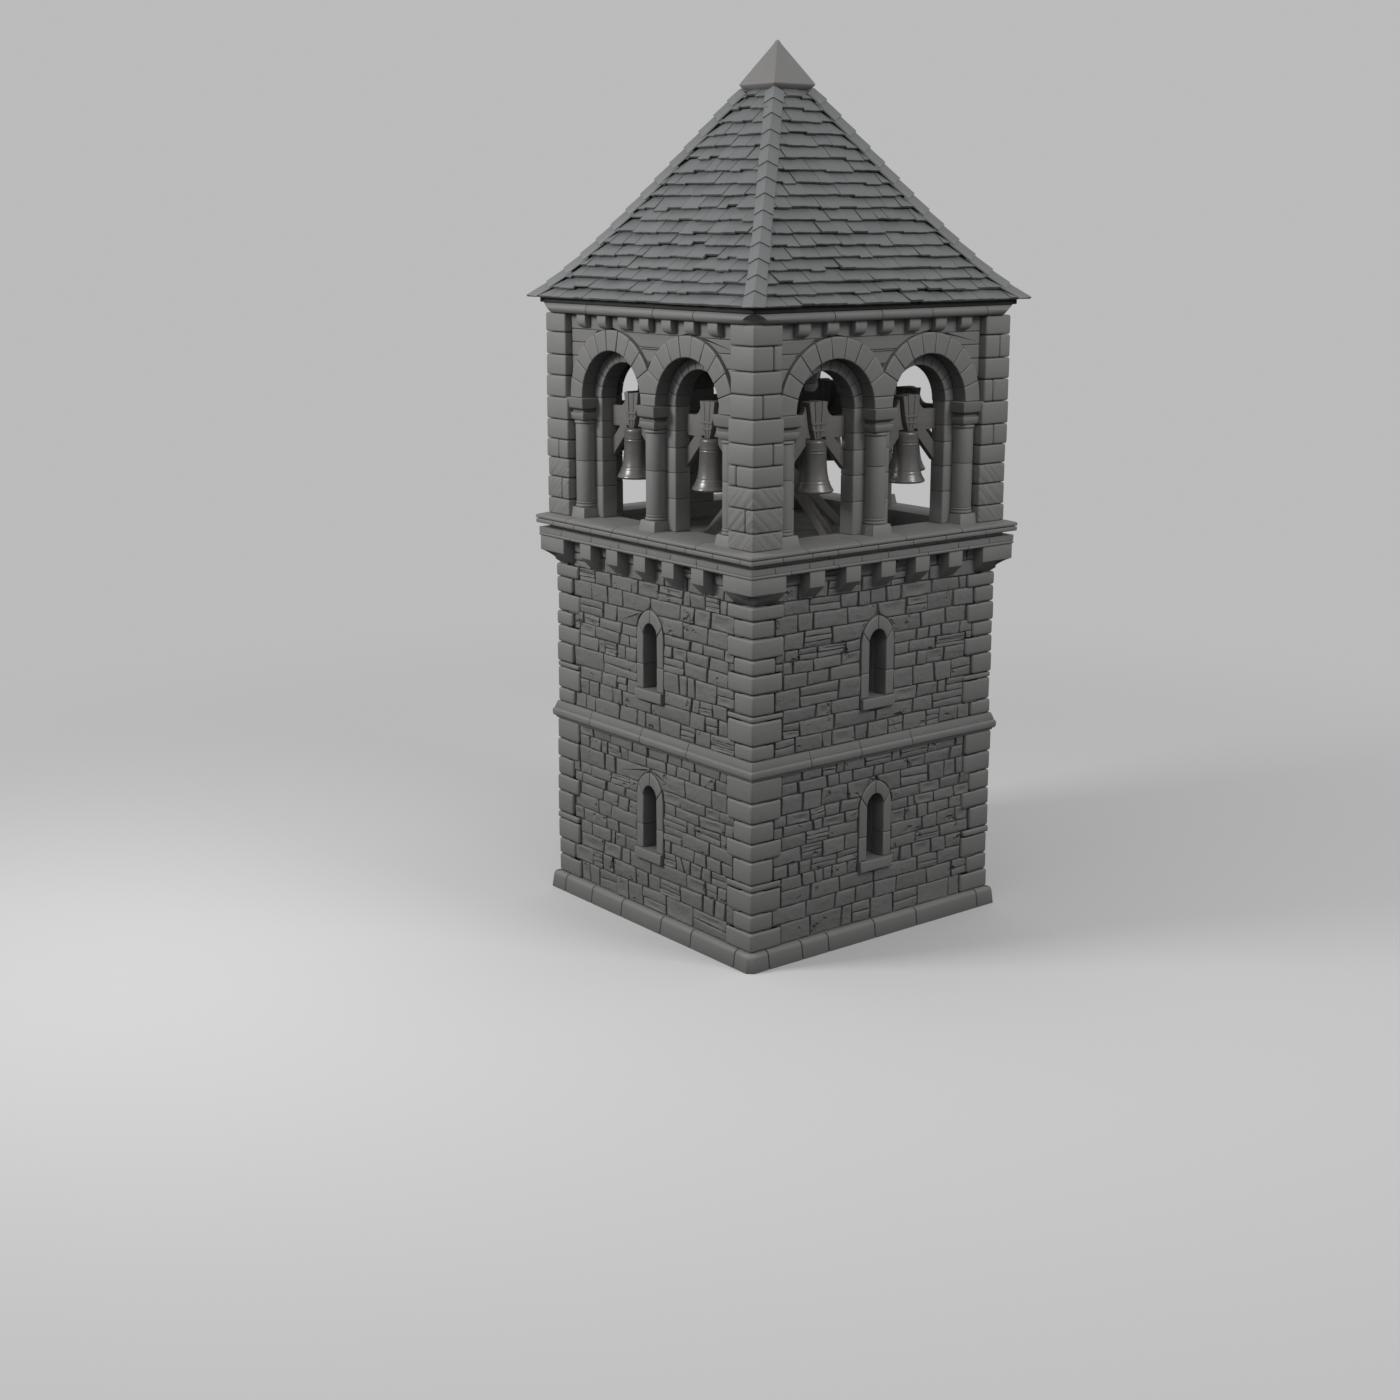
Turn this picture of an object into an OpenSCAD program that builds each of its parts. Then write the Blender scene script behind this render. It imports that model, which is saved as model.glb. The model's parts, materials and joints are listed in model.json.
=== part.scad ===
// Square stone bell tower: two walled stages on a plinth, an open belfry with
// twin arches on every side, eight swinging bells and a steep slated roof.
// Millimetres, +Z up, origin at the middle of the base on the ground.
// Every side is drawn once as the +X side and turned about the axis.

/* [Body] */
// Width over the corner stones of the lower stage
body_w = 5780; // [5300:10:6400]
// How far the plinth stands out from the corner stones
plinth_out = 110; // [60:5:180]
// Height of the plinth
plinth_h = 330; // [240:10:480]
// Rounding along the top edge of the plinth
plinth_round = 95; // [40:5:150]
// Width cut off each upright corner of the plinth
plinth_chamfer = 100; // [20:5:160]
// Height of the paving inside the plinth
paving_h = 180; // [80:10:230]
// Height of the lower walled stage
lower_h = 3050; // [2700:10:3400]
// Height of the upper walled stage up to the corbels
upper_h = 2650; // [2400:10:3000]
// How far the upper stage stands back from the lower one
stage_setback = 25; // [0:5:60]
// How far the mortar of the rubble lies behind the corner stones
field_recess = 70; // [40:5:100]
// Thickness of the upper stage's wall
wall_t = 670; // [600:10:780]
// Ledge inside, where the lower wall carries the upper floor
floor_ledge = 100; // [60:5:160]
// Thickness of the timber floors
floor_t = 140; // [80:5:180]

/* [Corner stones] */
// Long arm of a corner stone
quoin_long = 700; // [600:10:760]
// Short arm of a corner stone
quoin_short = 520; // [440:10:590]
// Depth that the corner stones reach into the wall
quoin_core = 320; // [200:10:400]

/* [String course] */
// Height of the string course
string_h = 320; // [240:10:400]
// How far its nose stands out from the corner stones
string_out = 52; // [30:2:90]
// How far the nose is cut back underneath
string_cut = 20; // [10:2:28]
// How far its top stands out from the upper corner stones
string_lip = 5; // [0:1:10]

/* [Windows] */
// Clear width of a window
win_w = 390; // [300:10:460]
// Clear height of a window
win_h = 1200; // [900:10:1300]
// Rise of the window's pointed head
win_rise = 215; // [200:5:300]
// Lower sill above the plinth
lower_sill = 1130; // [900:10:1300]
// Upper sill above the string course
upper_sill = 730; // [600:10:900]
// Width of the dressed stone beside a window
jamb_w = 195; // [140:5:260]
// Rise of the outer curve of the window's head
head_rise = 470; // [420:10:520]
// Height of the sill stone
sill_h = 180; // [120:10:240]
// Depth of the dressed stones in the wall
dressing_depth = 260; // [160:10:360]
// How far the dressed stones stand out from the mortar
dressing_out = 50; // [20:2:70]

/* [Corbel table] */
// Height of the corbels
corbel_h = 500; // [400:10:600]
// Reach of the corbels from the mortar of the wall
corbel_out = 265; // [200:5:300]
// Height of a corbel's upright front
corbel_front = 260; // [160:10:340]
// Width of a corbel
corbel_w = 330; // [240:10:400]
// Gap between the last corbel and the corner corbel
corbel_end_gap = 525; // [440:5:600]
// Length of the corner corbels along each side
corner_corbel = 740; // [600:10:840]
// Diameter of the hollow under the tip of a corner corbel
tip_hollow = 190; // [100:5:240]

/* [Belfry cornice] */
// Height of the bead under the cornice
bead_h = 70; // [50:2:90]
// Height of the flat brick course
brick_h = 110; // [80:5:140]
// Height of the shadowed cove
cove_h = 60; // [40:5:90]
// Height of each of the two rolls
roll_h = 75; // [60:1:90]
// Height of the sloping sill on top
sill_slope_h = 40; // [20:5:70]
// Reach of the rolls beyond the corner corbels
roll_out = 60; // [40:2:90]
// Depth of the cove
cove_depth = 50; // [30:2:80]
// Reach of the bead beyond the corner corbels
bead_out = 20; // [10:2:30]
// Reach of the brick course beyond the corner corbels
brick_out = 15; // [5:1:30]
// Width of the flat sill in front of the piers
sill_ledge = 30; // [10:5:60]

/* [Belfry] */
// Height of the belfry's corner piers
pier_h = 3640; // [3500:10:3900]
// Width of a corner pier
pier_w = 620; // [540:10:680]
// How far the piers stand out from the lower corner stones
pier_out = 64; // [20:2:100]
// Depth from the pier face to the inner arches
arcade_set = 374; // [340:2:420]
// Thickness of the wall with the inner arches
inner_t = 335; // [280:5:380]
// Depth from the pier face to the arch rings
ring_set = 94; // [60:2:130]
// How far the spandrels lie behind the arch rings
spandrel_set = 60; // [30:5:90]
// Distance from the middle of a side to each arch's middle
arch_c = 1080; // [1040:5:1120]
// Gap between the arch rings and the eaves corbels over them
arch_gap = 5; // [2:1:40]
// Inner arch radius
inner_r = 660; // [600:5:700]
// Outer arch radius
outer_r = 870; // [820:5:900]
// Depth of the outer arch ring
ring_w = 370; // [300:5:380]

/* [Columns] */
// Diameter of a column shaft
shaft_d = 370; // [320:5:400]
// How far the column's middle stands in front of the inner arches
shaft_out = 90; // [60:5:130]
// Width of the block under a column
base_w = 450; // [430:5:470]
// How much the block narrows upwards on each side
base_taper = 28; // [10:2:36]
// Height of the block under a column
base_h = 180; // [140:5:240]
// Height of the two rolls on the block
base_roll_h = 110; // [80:5:150]
// Share of that height that the lower roll takes
base_roll_share = 0.55; // [0.4:0.05:0.7]
// Reach of the lower roll beyond the shaft
base_roll_out = 16; // [10:1:24]
// Reach of the upper roll beyond the shaft
base_bead_out = 7; // [3:1:12]
// Height of the capital with its neck ring
capital_h = 470; // [400:10:540]
// Height of the neck ring
neck_h = 60; // [40:2:80]
// Reach of the neck ring beyond the shaft
neck_out = 8; // [4:1:14]
// Width of the capital's slab
abacus_w = 516; // [490:2:530]
// How much the slab narrows downwards on each side
abacus_taper = 24; // [15:1:35]
// Height of the capital's slab
abacus_h = 185; // [150:5:210]
// Height of the splay under the slab
undercut_h = 75; // [50:5:90]
// How far the splay starts behind the cushion's face
splay_back = 10; // [4:1:16]
// Width of the cushion under the slab
cushion_w = 400; // [380:5:420]
// How much the cushion narrows to its foot on each side
cushion_taper = 22; // [10:2:40]

/* [Eaves] */
// Number of eaves corbels on a side
eaves_corbels_n = 7; // [3:2:7]
// Gap between the last eaves corbel and the pier
eaves_end_gap = 344; // [300:2:420]
// Width of an eaves corbel
eaves_corbel_w = 260; // [200:5:300]
// Height of an eaves corbel
eaves_corbel_h = 235; // [200:5:280]
// Reach of an eaves corbel from the spandrel
eaves_corbel_out = 130; // [100:5:150]
// Height of the eaves moulding
eaves_h = 180; // [140:5:220]
// Reach of the eaves moulding beyond the piers
eaves_out = 80; // [60:5:100]
// How far the splay under each corner of the moulding cuts in
eaves_splay = 160; // [100:5:200]
// Width of the eaves moulding left over the splay
splay_lip = 20; // [10:2:40]
// Width of the timber plate
plate_w = 300; // [200:10:400]

/* [Roof] */
// Height of the slated slopes
roof_h = 3590; // [3200:10:3900]
// Overhang of the roof beyond the piers
roof_over = 166; // [140:2:200]
// Height of the slates' edge over the eaves moulding
slate_gap = 112; // [90:2:150]
// How far the slopes bend in above the eaves, as a share of their span
roof_bend = 0.1; // [0:0.01:0.15]
// Length of that bend, as a share of the roof's height
bend_len = 0.2; // [0.1:0.01:0.4]
// Thickness of boards and slates
roof_t = 110; // [80:5:140]
// Width of each wing of the hip tiles
hip_w = 250; // [180:5:300]
// Thickness of the hip tiles
hip_t = 45; // [25:5:60]
// Width of the stone cap
cap_w = 900; // [700:10:1100]
// Height of the stone cap
cap_h = 760; // [600:5:850]
// Height of the cap's rounded lip
cap_lip = 60; // [30:2:70]
// How far the cap stands out over the slates
cap_over = 55; // [30:5:80]

/* [Timbers in the belfry] */
// Width of the post
post_w = 220; // [180:5:260]
// Width of the raking struts
strut_w = 160; // [120:5:200]
// Slope of the struts in degrees
strut_slope = 42; // [38:1:48]
// Height up the post where the struts meet it
strut_rise = 1450; // [1200:10:1600]

/* [Bells] */
// Diameter of a bell's mouth
bell_d = 704; // [640:2:740]
// Height of a bell
bell_h = 890; // [800:5:930]
// Diameter of a bell's shoulder
bell_shoulder_d = 416; // [380:2:440]
// Thickness of a bell's lip
bell_lip = 44; // [35:1:60]
// Thickness of a bell's waist
bell_wall = 22; // [16:1:34]
// Distance of the bells behind the inner arches' face
bell_set = 290; // [270:5:310]
// Depth of the swing axis below the springing
axis_drop = 290; // [220:5:340]
// Depth of a bell's top below the swing axis
bell_drop = 205; // [200:5:260]

/* [Headstocks and brackets] */
// Width of a headstock's top along the wall
stock_w = 420; // [380:5:440]
// Width of a headstock at the swing axis
stock_waist_w = 280; // [240:5:300]
// Width of a headstock's lower end
stock_foot_w = 130; // [100:5:160]
// Depth of a headstock across the wall
stock_d = 270; // [240:5:300]
// Height of a headstock over the swing axis
stock_top = 440; // [400:5:500]
// Gap between a headstock and its brackets
stock_gap = 35; // [30:1:45]
// Diameter of a bell's pivot pins
pin_d = 50; // [40:1:60]
// Length of a pivot pin in its bracket
pin_len = 100; // [70:5:130]
// Gap past the end of a pin
pin_end_gap = 5; // [2:1:10]
// Clearance of a pin all round
pin_clear = 0.1; // [0.05:0.05:0.5]
// Thickness of a bracket
bracket_t = 120; // [100:5:140]
// Height of a bracket's arm over the swing axis
arm_up = 160; // [140:5:200]
// Depth of a bracket's arm below the swing axis
arm_down = 200; // [160:5:220]
// Radius of the hollow curve between a bracket's arm and its horn
arm_fillet = 190; // [150:5:220]
// Width of the horn's tip beside the headstock
horn_tip = 20; // [10:2:30]
// Gap between a bell's crown and the brackets over it
crown_gap = 30; // [25:1:40]
// Gap between a bell's shoulder and the brackets beside it
shoulder_gap = 15; // [10:1:25]
// Width of a bracket's brace
brace_w = 215; // [180:5:240]
// Depth of the brace's foot below the swing axis
brace_foot = 760; // [720:5:800]
// Lean of the brace, as its run over its rise
brace_lean = 0.95; // [0.85:0.01:1.05]

/* [Hidden] */
$fn = 64;
TURNS = [0, 90, 180, 270];
// how far cuts run past the faces they open
past = 1;

// heights, from the ground up
z_string = plinth_h + lower_h;
z_upper = z_string + string_h;
z_corbel = z_upper + upper_h;
z_cornice = z_corbel + corbel_h;
z_sill = z_cornice + bead_h + brick_h + cove_h + 2 * roll_h + sill_slope_h;
z_eaves = z_sill + pier_h;
z_spring = z_eaves - eaves_corbel_h - arch_gap - outer_r - ring_w;
z_plate = z_eaves + eaves_h;
z_axis = z_spring - axis_drop;
z_bell_top = z_axis - bell_drop;

// distances from the axis to the faces of a side
h_quoin = body_w / 2;
h_plinth = h_quoin + plinth_out;
h_field = h_quoin - field_recess;
h_quoin_up = h_quoin - stage_setback;
h_field_up = h_quoin_up - field_recess;
h_room_up = h_field_up - wall_t;
h_room = h_room_up - floor_ledge;
h_corbel = h_field_up + corbel_out;
h_pier = h_quoin + pier_out;
h_pier_in = h_pier - pier_w;
h_arcade = h_pier - arcade_set;
h_belfry = h_arcade - inner_t;
h_ring = h_pier - ring_set;
h_spandrel = h_ring - spandrel_set;
h_bell = h_arcade - bell_set;
// far enough to cut through everything
reach = 1.2 * (h_pier + roof_over);

// spacing of the corbels between the corner corbels, and of those at the eaves between the piers
corbels_n = 5;
corbel_pitch = (2 * (h_corbel - corner_corbel - corbel_end_gap) - corbel_w) / (corbels_n - 1);
eaves_pitch = (2 * (h_pier_in - eaves_end_gap) - eaves_corbel_w) / (eaves_corbels_n - 1);

// roof slopes: the slates' lower edge, their curve, and where they meet the cap
h_slate = h_pier + roof_over;
h_top = cap_w / 2 - cap_over;
z_slate = z_plate + slate_gap;
z_cap = z_slate + roof_h;
z_tip = z_cap + cap_h;
slope = atan(roof_h / (h_slate - h_top));
roof_side = roof_t / sin(slope);
hip_side = hip_t / sin(slope);
// points along the slates' curve, closer together near the eaves
roof_steps = 9;
roof_crowding = 1.4;

// heights of the string course's corners, as shares of its height
string_shares = [0.33, 0.44, 0.66];
// course heights of the corner stones as shares of their stage, and which courses are long (1)
lower_courses = [35, 32, 40, 13, 42, 32, 35, 36, 40];
lower_long = [1, 0, 1, 1, 0, 1, 0, 1, 1];
upper_courses = [27, 41, 10, 37, 33, 27, 35, 30, 25];
upper_long = [0, 1, 1, 0, 1, 0, 1, 0, 1];
// share of a bell's flare that comes late, near its lip
late_flare = 0.78;
// how late that share comes
flare_power = 5;
// rounding of a bell's shoulder as a share of its radius, and how much of it the hollow follows
shoulder_round = 0.29;
hollow_round = 0.6;

function total(list, i = 0) = i < len(list) ? list[i] + total(list, i + 1) : 0;
function below(list, n) = n > 0 ? list[n - 1] + below(list, n - 1) : 0;

// Drawing aids
// 2D section [distance from the axis, height], run along the +X side and mitred
module side_run() {
    intersection() {
        rotate([90, 0, 0]) linear_extrude(2 * reach, center = true) children();
        translate([0, 0, -reach])
            linear_extrude(z_tip + 2 * reach) polygon([[0, 0], [reach, -reach], [reach, reach]]);
    }
}

module ring_run() {
    for (a = TURNS) rotate(a) side_run() children();
}

// 2D elevation [along the side, height], as a slab between two distances from the axis
module elevation(h0, h1) {
    translate([h0, 0, 0]) rotate([90, 0, 90]) linear_extrude(h1 - h0) children();
}

module band(x0, x1, y0, y1) {
    translate([x0, y0]) square([x1 - x0, y1 - y0]);
}

// upright shape with a pointed head: half width, foot, springing and rise of the point
module lancet(half, z0, z1, rise) {
    off = (rise * rise - half * half) / (2 * half);
    r = half + off;
    steps = 8;
    arc = [for (i = [0 : steps]) let (a = acos(off / r) * i / steps)
        [r * cos(a) - off, z1 + r * sin(a)]];
    polygon(concat([[-half, z0], [half, z0]], arc,
        [for (i = [steps - 1 : -1 : 0]) [-arc[i][0], arc[i][1]]]));
}

// Walled stages
module plinth() {
    edge = h_plinth - plinth_round;
    color("#8a8a88") intersection() {
        union() {
            ring_run() union() {
                band(h_room, edge, 0, plinth_h);
                band(h_room, h_plinth, 0, plinth_h - plinth_round);
                translate([edge, plinth_h - plinth_round]) circle(plinth_round);
            }
            linear_extrude(paving_h) square(h_room + h_field, center = true);
        }
        linear_extrude(plinth_h) intersection() {
            square(2 * h_plinth, center = true);
            rotate(45) square(2 * (sqrt(2) * h_plinth - plinth_chamfer / 2), center = true);
        }
    }
}

// plan of one mitred wall, with its corners left open for the corner stones
module wall_plan(h_out, h_in, core) {
    cut = h_out - core;
    polygon([[h_in, -h_in], [cut, -cut], [h_out, -cut], [h_out, cut], [cut, cut], [h_in, h_in]]);
}

module whole_plan(h_out, h_in) {
    polygon([[h_in, -h_in], [h_out, -h_out], [h_out, h_out], [h_in, h_in]]);
}

// opening and dressed stones of a window, with its sill at a given height
module window_gap(sill) {
    lancet(win_w / 2, sill, sill + win_h - win_rise, win_rise);
}

module window_outline(sill) {
    lancet(win_w / 2 + jamb_w, sill - sill_h, sill + win_h - win_rise, head_rise);
}

module wall_side() {
    difference() {
        union() {
            translate([0, 0, plinth_h]) linear_extrude(lower_h)
                wall_plan(h_field, h_room, quoin_core);
            translate([0, 0, z_string]) linear_extrude(string_h / 2)
                whole_plan(h_field, h_room);
            translate([0, 0, z_string + string_h / 2]) linear_extrude(string_h / 2)
                whole_plan(h_field, h_room_up);
            translate([0, 0, z_upper]) linear_extrude(upper_h)
                wall_plan(h_field_up, h_room_up, quoin_core);
            translate([0, 0, z_corbel]) linear_extrude(corbel_h)
                whole_plan(h_field_up, h_room_up);
        }
        elevation(0, reach) window_gap(plinth_h + lower_sill);
        elevation(0, reach) window_gap(z_upper + upper_sill);
        elevation(h_field - dressing_depth, reach) window_outline(plinth_h + lower_sill);
        elevation(h_field_up - dressing_depth, reach) window_outline(z_upper + upper_sill);
    }
}

module front_wall() { color("#9a9a97") rotate(270) wall_side(); }
module right_wall() { color("#9a9a97") wall_side(); }
module back_wall() { color("#9a9a97") rotate(90) wall_side(); }
module left_wall() { color("#9a9a97") rotate(180) wall_side(); }

// one course of corner stones with arms along both sides, bonded into the wall by a square core
module quoin_course(face, field, arm) {
    core = field - quoin_core;
    end = face - arm;
    polygon([[face, face], [face, end], [field, end], [field, core], [core, core], [core, field],
        [end, field], [end, face]]);
}

module quoin_stack(z0, height, courses, long, face, field) {
    share = height / total(courses);
    for (i = [0 : len(courses) - 1])
        translate([0, 0, z0 + share * below(courses, i)]) linear_extrude(share * courses[i])
            quoin_course(face, field, long[i] == 1 ? quoin_long : quoin_short);
}

module corner_stones() {
    color("#a4a4a1") for (a = TURNS) rotate(a) {
        quoin_stack(plinth_h, lower_h, lower_courses, lower_long, h_quoin, h_field);
        quoin_stack(z_upper, upper_h, upper_courses, upper_long, h_quoin_up, h_field_up);
    }
}

module window_dressing(sill, field) {
    elevation(field - dressing_depth, field + dressing_out) difference() {
        window_outline(sill);
        window_gap(sill);
    }
}

module window_dressings() {
    color("#a8a8a5") for (a = TURNS) rotate(a) {
        window_dressing(plinth_h + lower_sill, h_field);
        window_dressing(z_upper + upper_sill, h_field_up);
    }
}

module string_course() {
    nose = h_quoin + string_out;
    z = [for (share = string_shares) z_string + share * string_h];
    color("#a0a09d") ring_run() polygon([[h_field, z_string], [h_quoin, z_string],
        [nose - string_cut, z[0]], [nose, z[1]], [nose, z[2]],
        [h_quoin_up + string_lip, z_upper], [h_field, z_upper]]);
}

module upper_floor() {
    color("#7d776f") translate([-h_room_up, -h_room_up, z_string + string_h / 2])
        cube([2 * h_room_up, 2 * h_room_up, floor_t]);
}

module corbel_section() {
    polygon([[h_field_up, z_corbel], [h_corbel, z_cornice - corbel_front],
        [h_corbel, z_cornice], [h_field_up, z_cornice]]);
}

module corbels() {
    inner = h_corbel - corner_corbel;
    last = (corbels_n - 1) / 2;
    h_hollow = sqrt(2) * h_field_up + tip_hollow / 2;
    z_hollow = z_cornice - corbel_front - tip_hollow / 2;
    color("#a0a09d") {
        for (a = TURNS, i = [-last : last]) rotate(a) translate([0, i * corbel_pitch, 0])
            rotate([90, 0, 0]) linear_extrude(corbel_w, center = true) corbel_section();
        difference() {
            intersection() {
                ring_run() corbel_section();
                for (a = TURNS) rotate(a) translate([inner, inner, z_corbel - past])
                    cube([reach, reach, corbel_h + 2 * past]);
            }
            for (a = TURNS) rotate(45 + a) translate([h_hollow, 0, z_hollow])
                rotate([0, 90, 0]) cylinder(h = reach, d = tip_hollow);
        }
    }
}

module belfry_cornice() {
    z_brick = z_cornice + bead_h;
    z_cove = z_brick + brick_h;
    z_roll = z_cove + cove_h;
    h_bead = h_corbel + bead_out;
    h_brick = h_corbel + brick_out;
    h_roll = h_corbel + roll_out;
    color("#a0a09d") ring_run() union() {
        band(h_belfry, h_bead - bead_h / 2, z_cornice, z_brick);
        translate([h_bead - bead_h / 2, z_cornice + bead_h / 2]) circle(bead_h / 2);
        band(h_belfry, h_brick, z_brick, z_cove);
        band(h_belfry, h_brick - cove_depth, z_cove, z_roll);
        for (i = [0, 1]) {
            band(h_belfry, h_roll - roll_h / 2, z_roll + i * roll_h, z_roll + (i + 1) * roll_h);
            translate([h_roll - roll_h / 2, z_roll + (i + 0.5) * roll_h]) circle(roll_h / 2);
        }
        polygon([[h_belfry, z_sill - sill_slope_h], [h_roll - roll_h / 2, z_sill - sill_slope_h],
            [h_pier + sill_ledge, z_sill], [h_belfry, z_sill]]);
    }
}

module belfry_floor() {
    color("#7d776f") translate([-h_belfry, -h_belfry, z_cornice])
        cube([2 * h_belfry, 2 * h_belfry, floor_t]);
}

// Belfry
module corner_piers() {
    color("#a4a4a1") for (a = TURNS) rotate(a)
        translate([h_pier_in, h_pier_in, z_sill]) cube([pier_w, pier_w, pier_h]);
}

// twin round-headed openings of one side, at a given radius
module arch_pair(r, foot) {
    for (s = [-1, 1]) translate([s * arch_c, 0]) {
        band(-r, r, foot, z_spring);
        translate([0, z_spring]) circle(r);
    }
}

module arcade_side() {
    color("#a0a09d") difference() {
        union() {
            intersection() {
                elevation(h_belfry, h_arcade) band(-h_arcade, h_arcade, z_sill, z_eaves);
                translate([0, 0, z_sill]) linear_extrude(pier_h) polygon([[h_belfry, -h_belfry],
                    [h_pier_in, -h_pier_in], [h_arcade, -h_pier_in], [h_arcade, h_pier_in],
                    [h_pier_in, h_pier_in], [h_belfry, h_belfry]]);
            }
            elevation(h_arcade - inner_t / 2, h_spandrel)
                band(-h_pier_in, h_pier_in, z_spring, z_eaves);
            elevation(h_arcade, h_ring) intersection() {
                arch_pair(outer_r + ring_w, z_spring - past);
                band(-h_pier_in, h_pier_in, z_spring, z_eaves);
            }
        }
        elevation(0, reach) arch_pair(inner_r, z_sill - past);
        elevation(h_arcade, reach) arch_pair(outer_r, z_spring - past);
    }
}

module front_arcade() { rotate(270) arcade_side(); }
module right_arcade() { arcade_side(); }
module back_arcade() { rotate(90) arcade_side(); }
module left_arcade() { rotate(180) arcade_side(); }

// a column's pieces stand in the angle between the inner arches and the corner piers
module column_place() {
    h_shaft = h_arcade + shaft_out;
    for (a = TURNS) rotate(a) intersection() {
        for (u = [-1, 0, 1]) translate([h_shaft, u * (h_pier_in - base_w / 2), 0]) children();
        translate([h_arcade, -h_pier_in, z_sill]) cube([reach, 2 * h_pier_in, pier_h]);
    }
}

// block with four sloping sides round a column's middle, from its half widths and heights
module column_block(half0, half1, z0, z1) {
    intersection() {
        rotate([90, 0, 0]) linear_extrude(reach, center = true)
            polygon([[-half0, z0], [half0, z0], [half1, z1], [-half1, z1]]);
        elevation(-reach / 2, reach / 2)
            polygon([[-half0, z0], [half0, z0], [half1, z1], [-half1, z1]]);
    }
}

// round roll of a given outer radius, as the 2D half of a revolve
module roll_half(r, z0, z1) {
    half = (z1 - z0) / 2;
    band(0, r - half, z0, z1);
    translate([r - half, z0 + half]) intersection() {
        circle(half);
        band(0, half, -half, half);
    }
}

module column_bases() {
    z_roll = z_sill + base_h;
    z_bead = z_roll + base_roll_share * base_roll_h;
    half = base_w / 2;
    color("#a8a8a5") column_place() {
        column_block(half, half - base_taper, z_sill, z_roll);
        rotate_extrude() {
            roll_half(shaft_d / 2 + base_roll_out, z_roll, z_bead);
            roll_half(shaft_d / 2 + base_bead_out, z_bead, z_roll + base_roll_h);
        }
    }
}

module column_shafts() {
    z0 = z_sill + base_h + base_roll_h;
    color("#a8a8a5") column_place()
        translate([0, 0, z0]) cylinder(h = z_spring - capital_h - z0, d = shaft_d);
}

// neck ring, square cushion with a sloping foot, a deep splay and a slab that widens upwards
module column_capitals() {
    z_neck = z_spring - capital_h;
    z_foot = z_neck + neck_h;
    z_slab = z_spring - abacus_h;
    z_splay = z_slab - undercut_h;
    half = cushion_w / 2;
    half_slab = abacus_w / 2 - abacus_taper;
    foot_h = (z_splay - z_foot) / 2;
    color("#a8a8a5") column_place() {
        rotate_extrude() roll_half(shaft_d / 2 + neck_out, z_neck, z_foot);
        column_block(half - cushion_taper, half, z_foot, z_foot + foot_h);
        column_block(half, half, z_foot + foot_h, z_splay);
        column_block(half - splay_back, half_slab, z_splay, z_slab);
        column_block(half_slab, abacus_w / 2, z_slab, z_spring);
    }
}

// Eaves and roof
module eaves_corbels() {
    z_round = z_eaves - eaves_corbel_h + eaves_corbel_out;
    first = -(eaves_corbels_n - 1) / 2;
    color("#a0a09d") for (a = TURNS, i = [first : -first])
        rotate(a) translate([0, i * eaves_pitch, 0])
            rotate([90, 0, 0]) linear_extrude(eaves_corbel_w, center = true) intersection() {
                union() {
                    band(h_spandrel, h_spandrel + eaves_corbel_out, z_round, z_eaves);
                    translate([h_spandrel, z_round]) circle(eaves_corbel_out);
                }
                band(h_spandrel, h_pier, z_eaves - eaves_corbel_h, z_eaves);
            }
}

module eaves_cornice() {
    half_round = eaves_h / 2;
    edge = h_pier + eaves_out - half_round;
    tip = sqrt(2) * edge + splay_lip;
    color("#a0a09d") difference() {
        ring_run() union() {
            band(h_belfry, edge, z_eaves, z_plate);
            translate([edge, z_eaves + half_round]) circle(half_round);
        }
        for (a = TURNS) rotate(45 + a) rotate([90, 0, 0])
            linear_extrude(2 * pier_w, center = true)
                polygon([[tip - eaves_splay, z_eaves - past], [tip + eaves_h, z_eaves - past],
                    [tip + eaves_h, z_plate + past], [tip, z_plate + past]]);
    }
}

// share of the roof's span left at a share t of its height
function span_left(t) = (1 - t) * (1 - roof_bend * (1 - exp(-t / bend_len)));
// outline of the slates from the eaves up, moved out or in by a distance
function slate_line(out) = [for (i = [0 : roof_steps]) let (t = pow(i / roof_steps, roof_crowding))
    [h_top + (h_slate - h_top) * span_left(t) + out, z_slate + t * roof_h]];
function backwards(list) = [for (i = [len(list) - 1 : -1 : 0]) list[i]];

// timber plate, planed on top to the underside of the roof
module wall_plate() {
    h_plate = h_slate - roof_side + slate_gap / 4;
    color("#7d776f") ring_run() difference() {
        band(h_plate - plate_w, h_plate, z_plate, z_slate + plate_w);
        polygon(concat(slate_line(-roof_side), [[reach, z_cap], [reach, z_slate]]));
    }
}

module roof() {
    color("#6f7378") ring_run()
        polygon(concat(slate_line(0), backwards(slate_line(-roof_side))));
}

module hip_tiles() {
    wing = hip_w * sqrt(2);
    color("#666a6e") intersection() {
        ring_run() polygon(concat(slate_line(hip_side), backwards(slate_line(0))));
        for (a = TURNS) rotate(45 + a)
            translate([0, -wing / 2, 0]) cube([2 * reach, wing, z_tip]);
    }
}

module roof_cap() {
    r = cap_lip / 2;
    edge = cap_w / 2 - r;
    color("#a4a4a1") ring_run() union() {
        polygon([[0, z_cap], [edge, z_cap], [edge, z_cap + cap_lip], [0, z_tip]]);
        translate([edge, z_cap + r]) circle(r);
    }
}

// Timbers in the belfry
module belfry_post() {
    foot = z_cornice + floor_t;
    color("#7d776f") translate([-post_w / 2, -post_w / 2, foot])
        cube([post_w, post_w, z_cap - foot]);
}

module raking_struts() {
    foot = z_cornice + floor_t;
    thick = strut_w / cos(strut_slope);
    run = strut_rise / tan(strut_slope);
    back = (strut_rise - thick) / tan(strut_slope);
    h0 = post_w / 2;
    color("#7d776f") for (a = TURNS) rotate(a)
        rotate([90, 0, 0]) linear_extrude(strut_w, center = true) polygon([[h0, foot + strut_rise],
            [h0, foot + strut_rise - thick], [h0 + back, foot], [h0 + run, foot]]);
}

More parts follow.
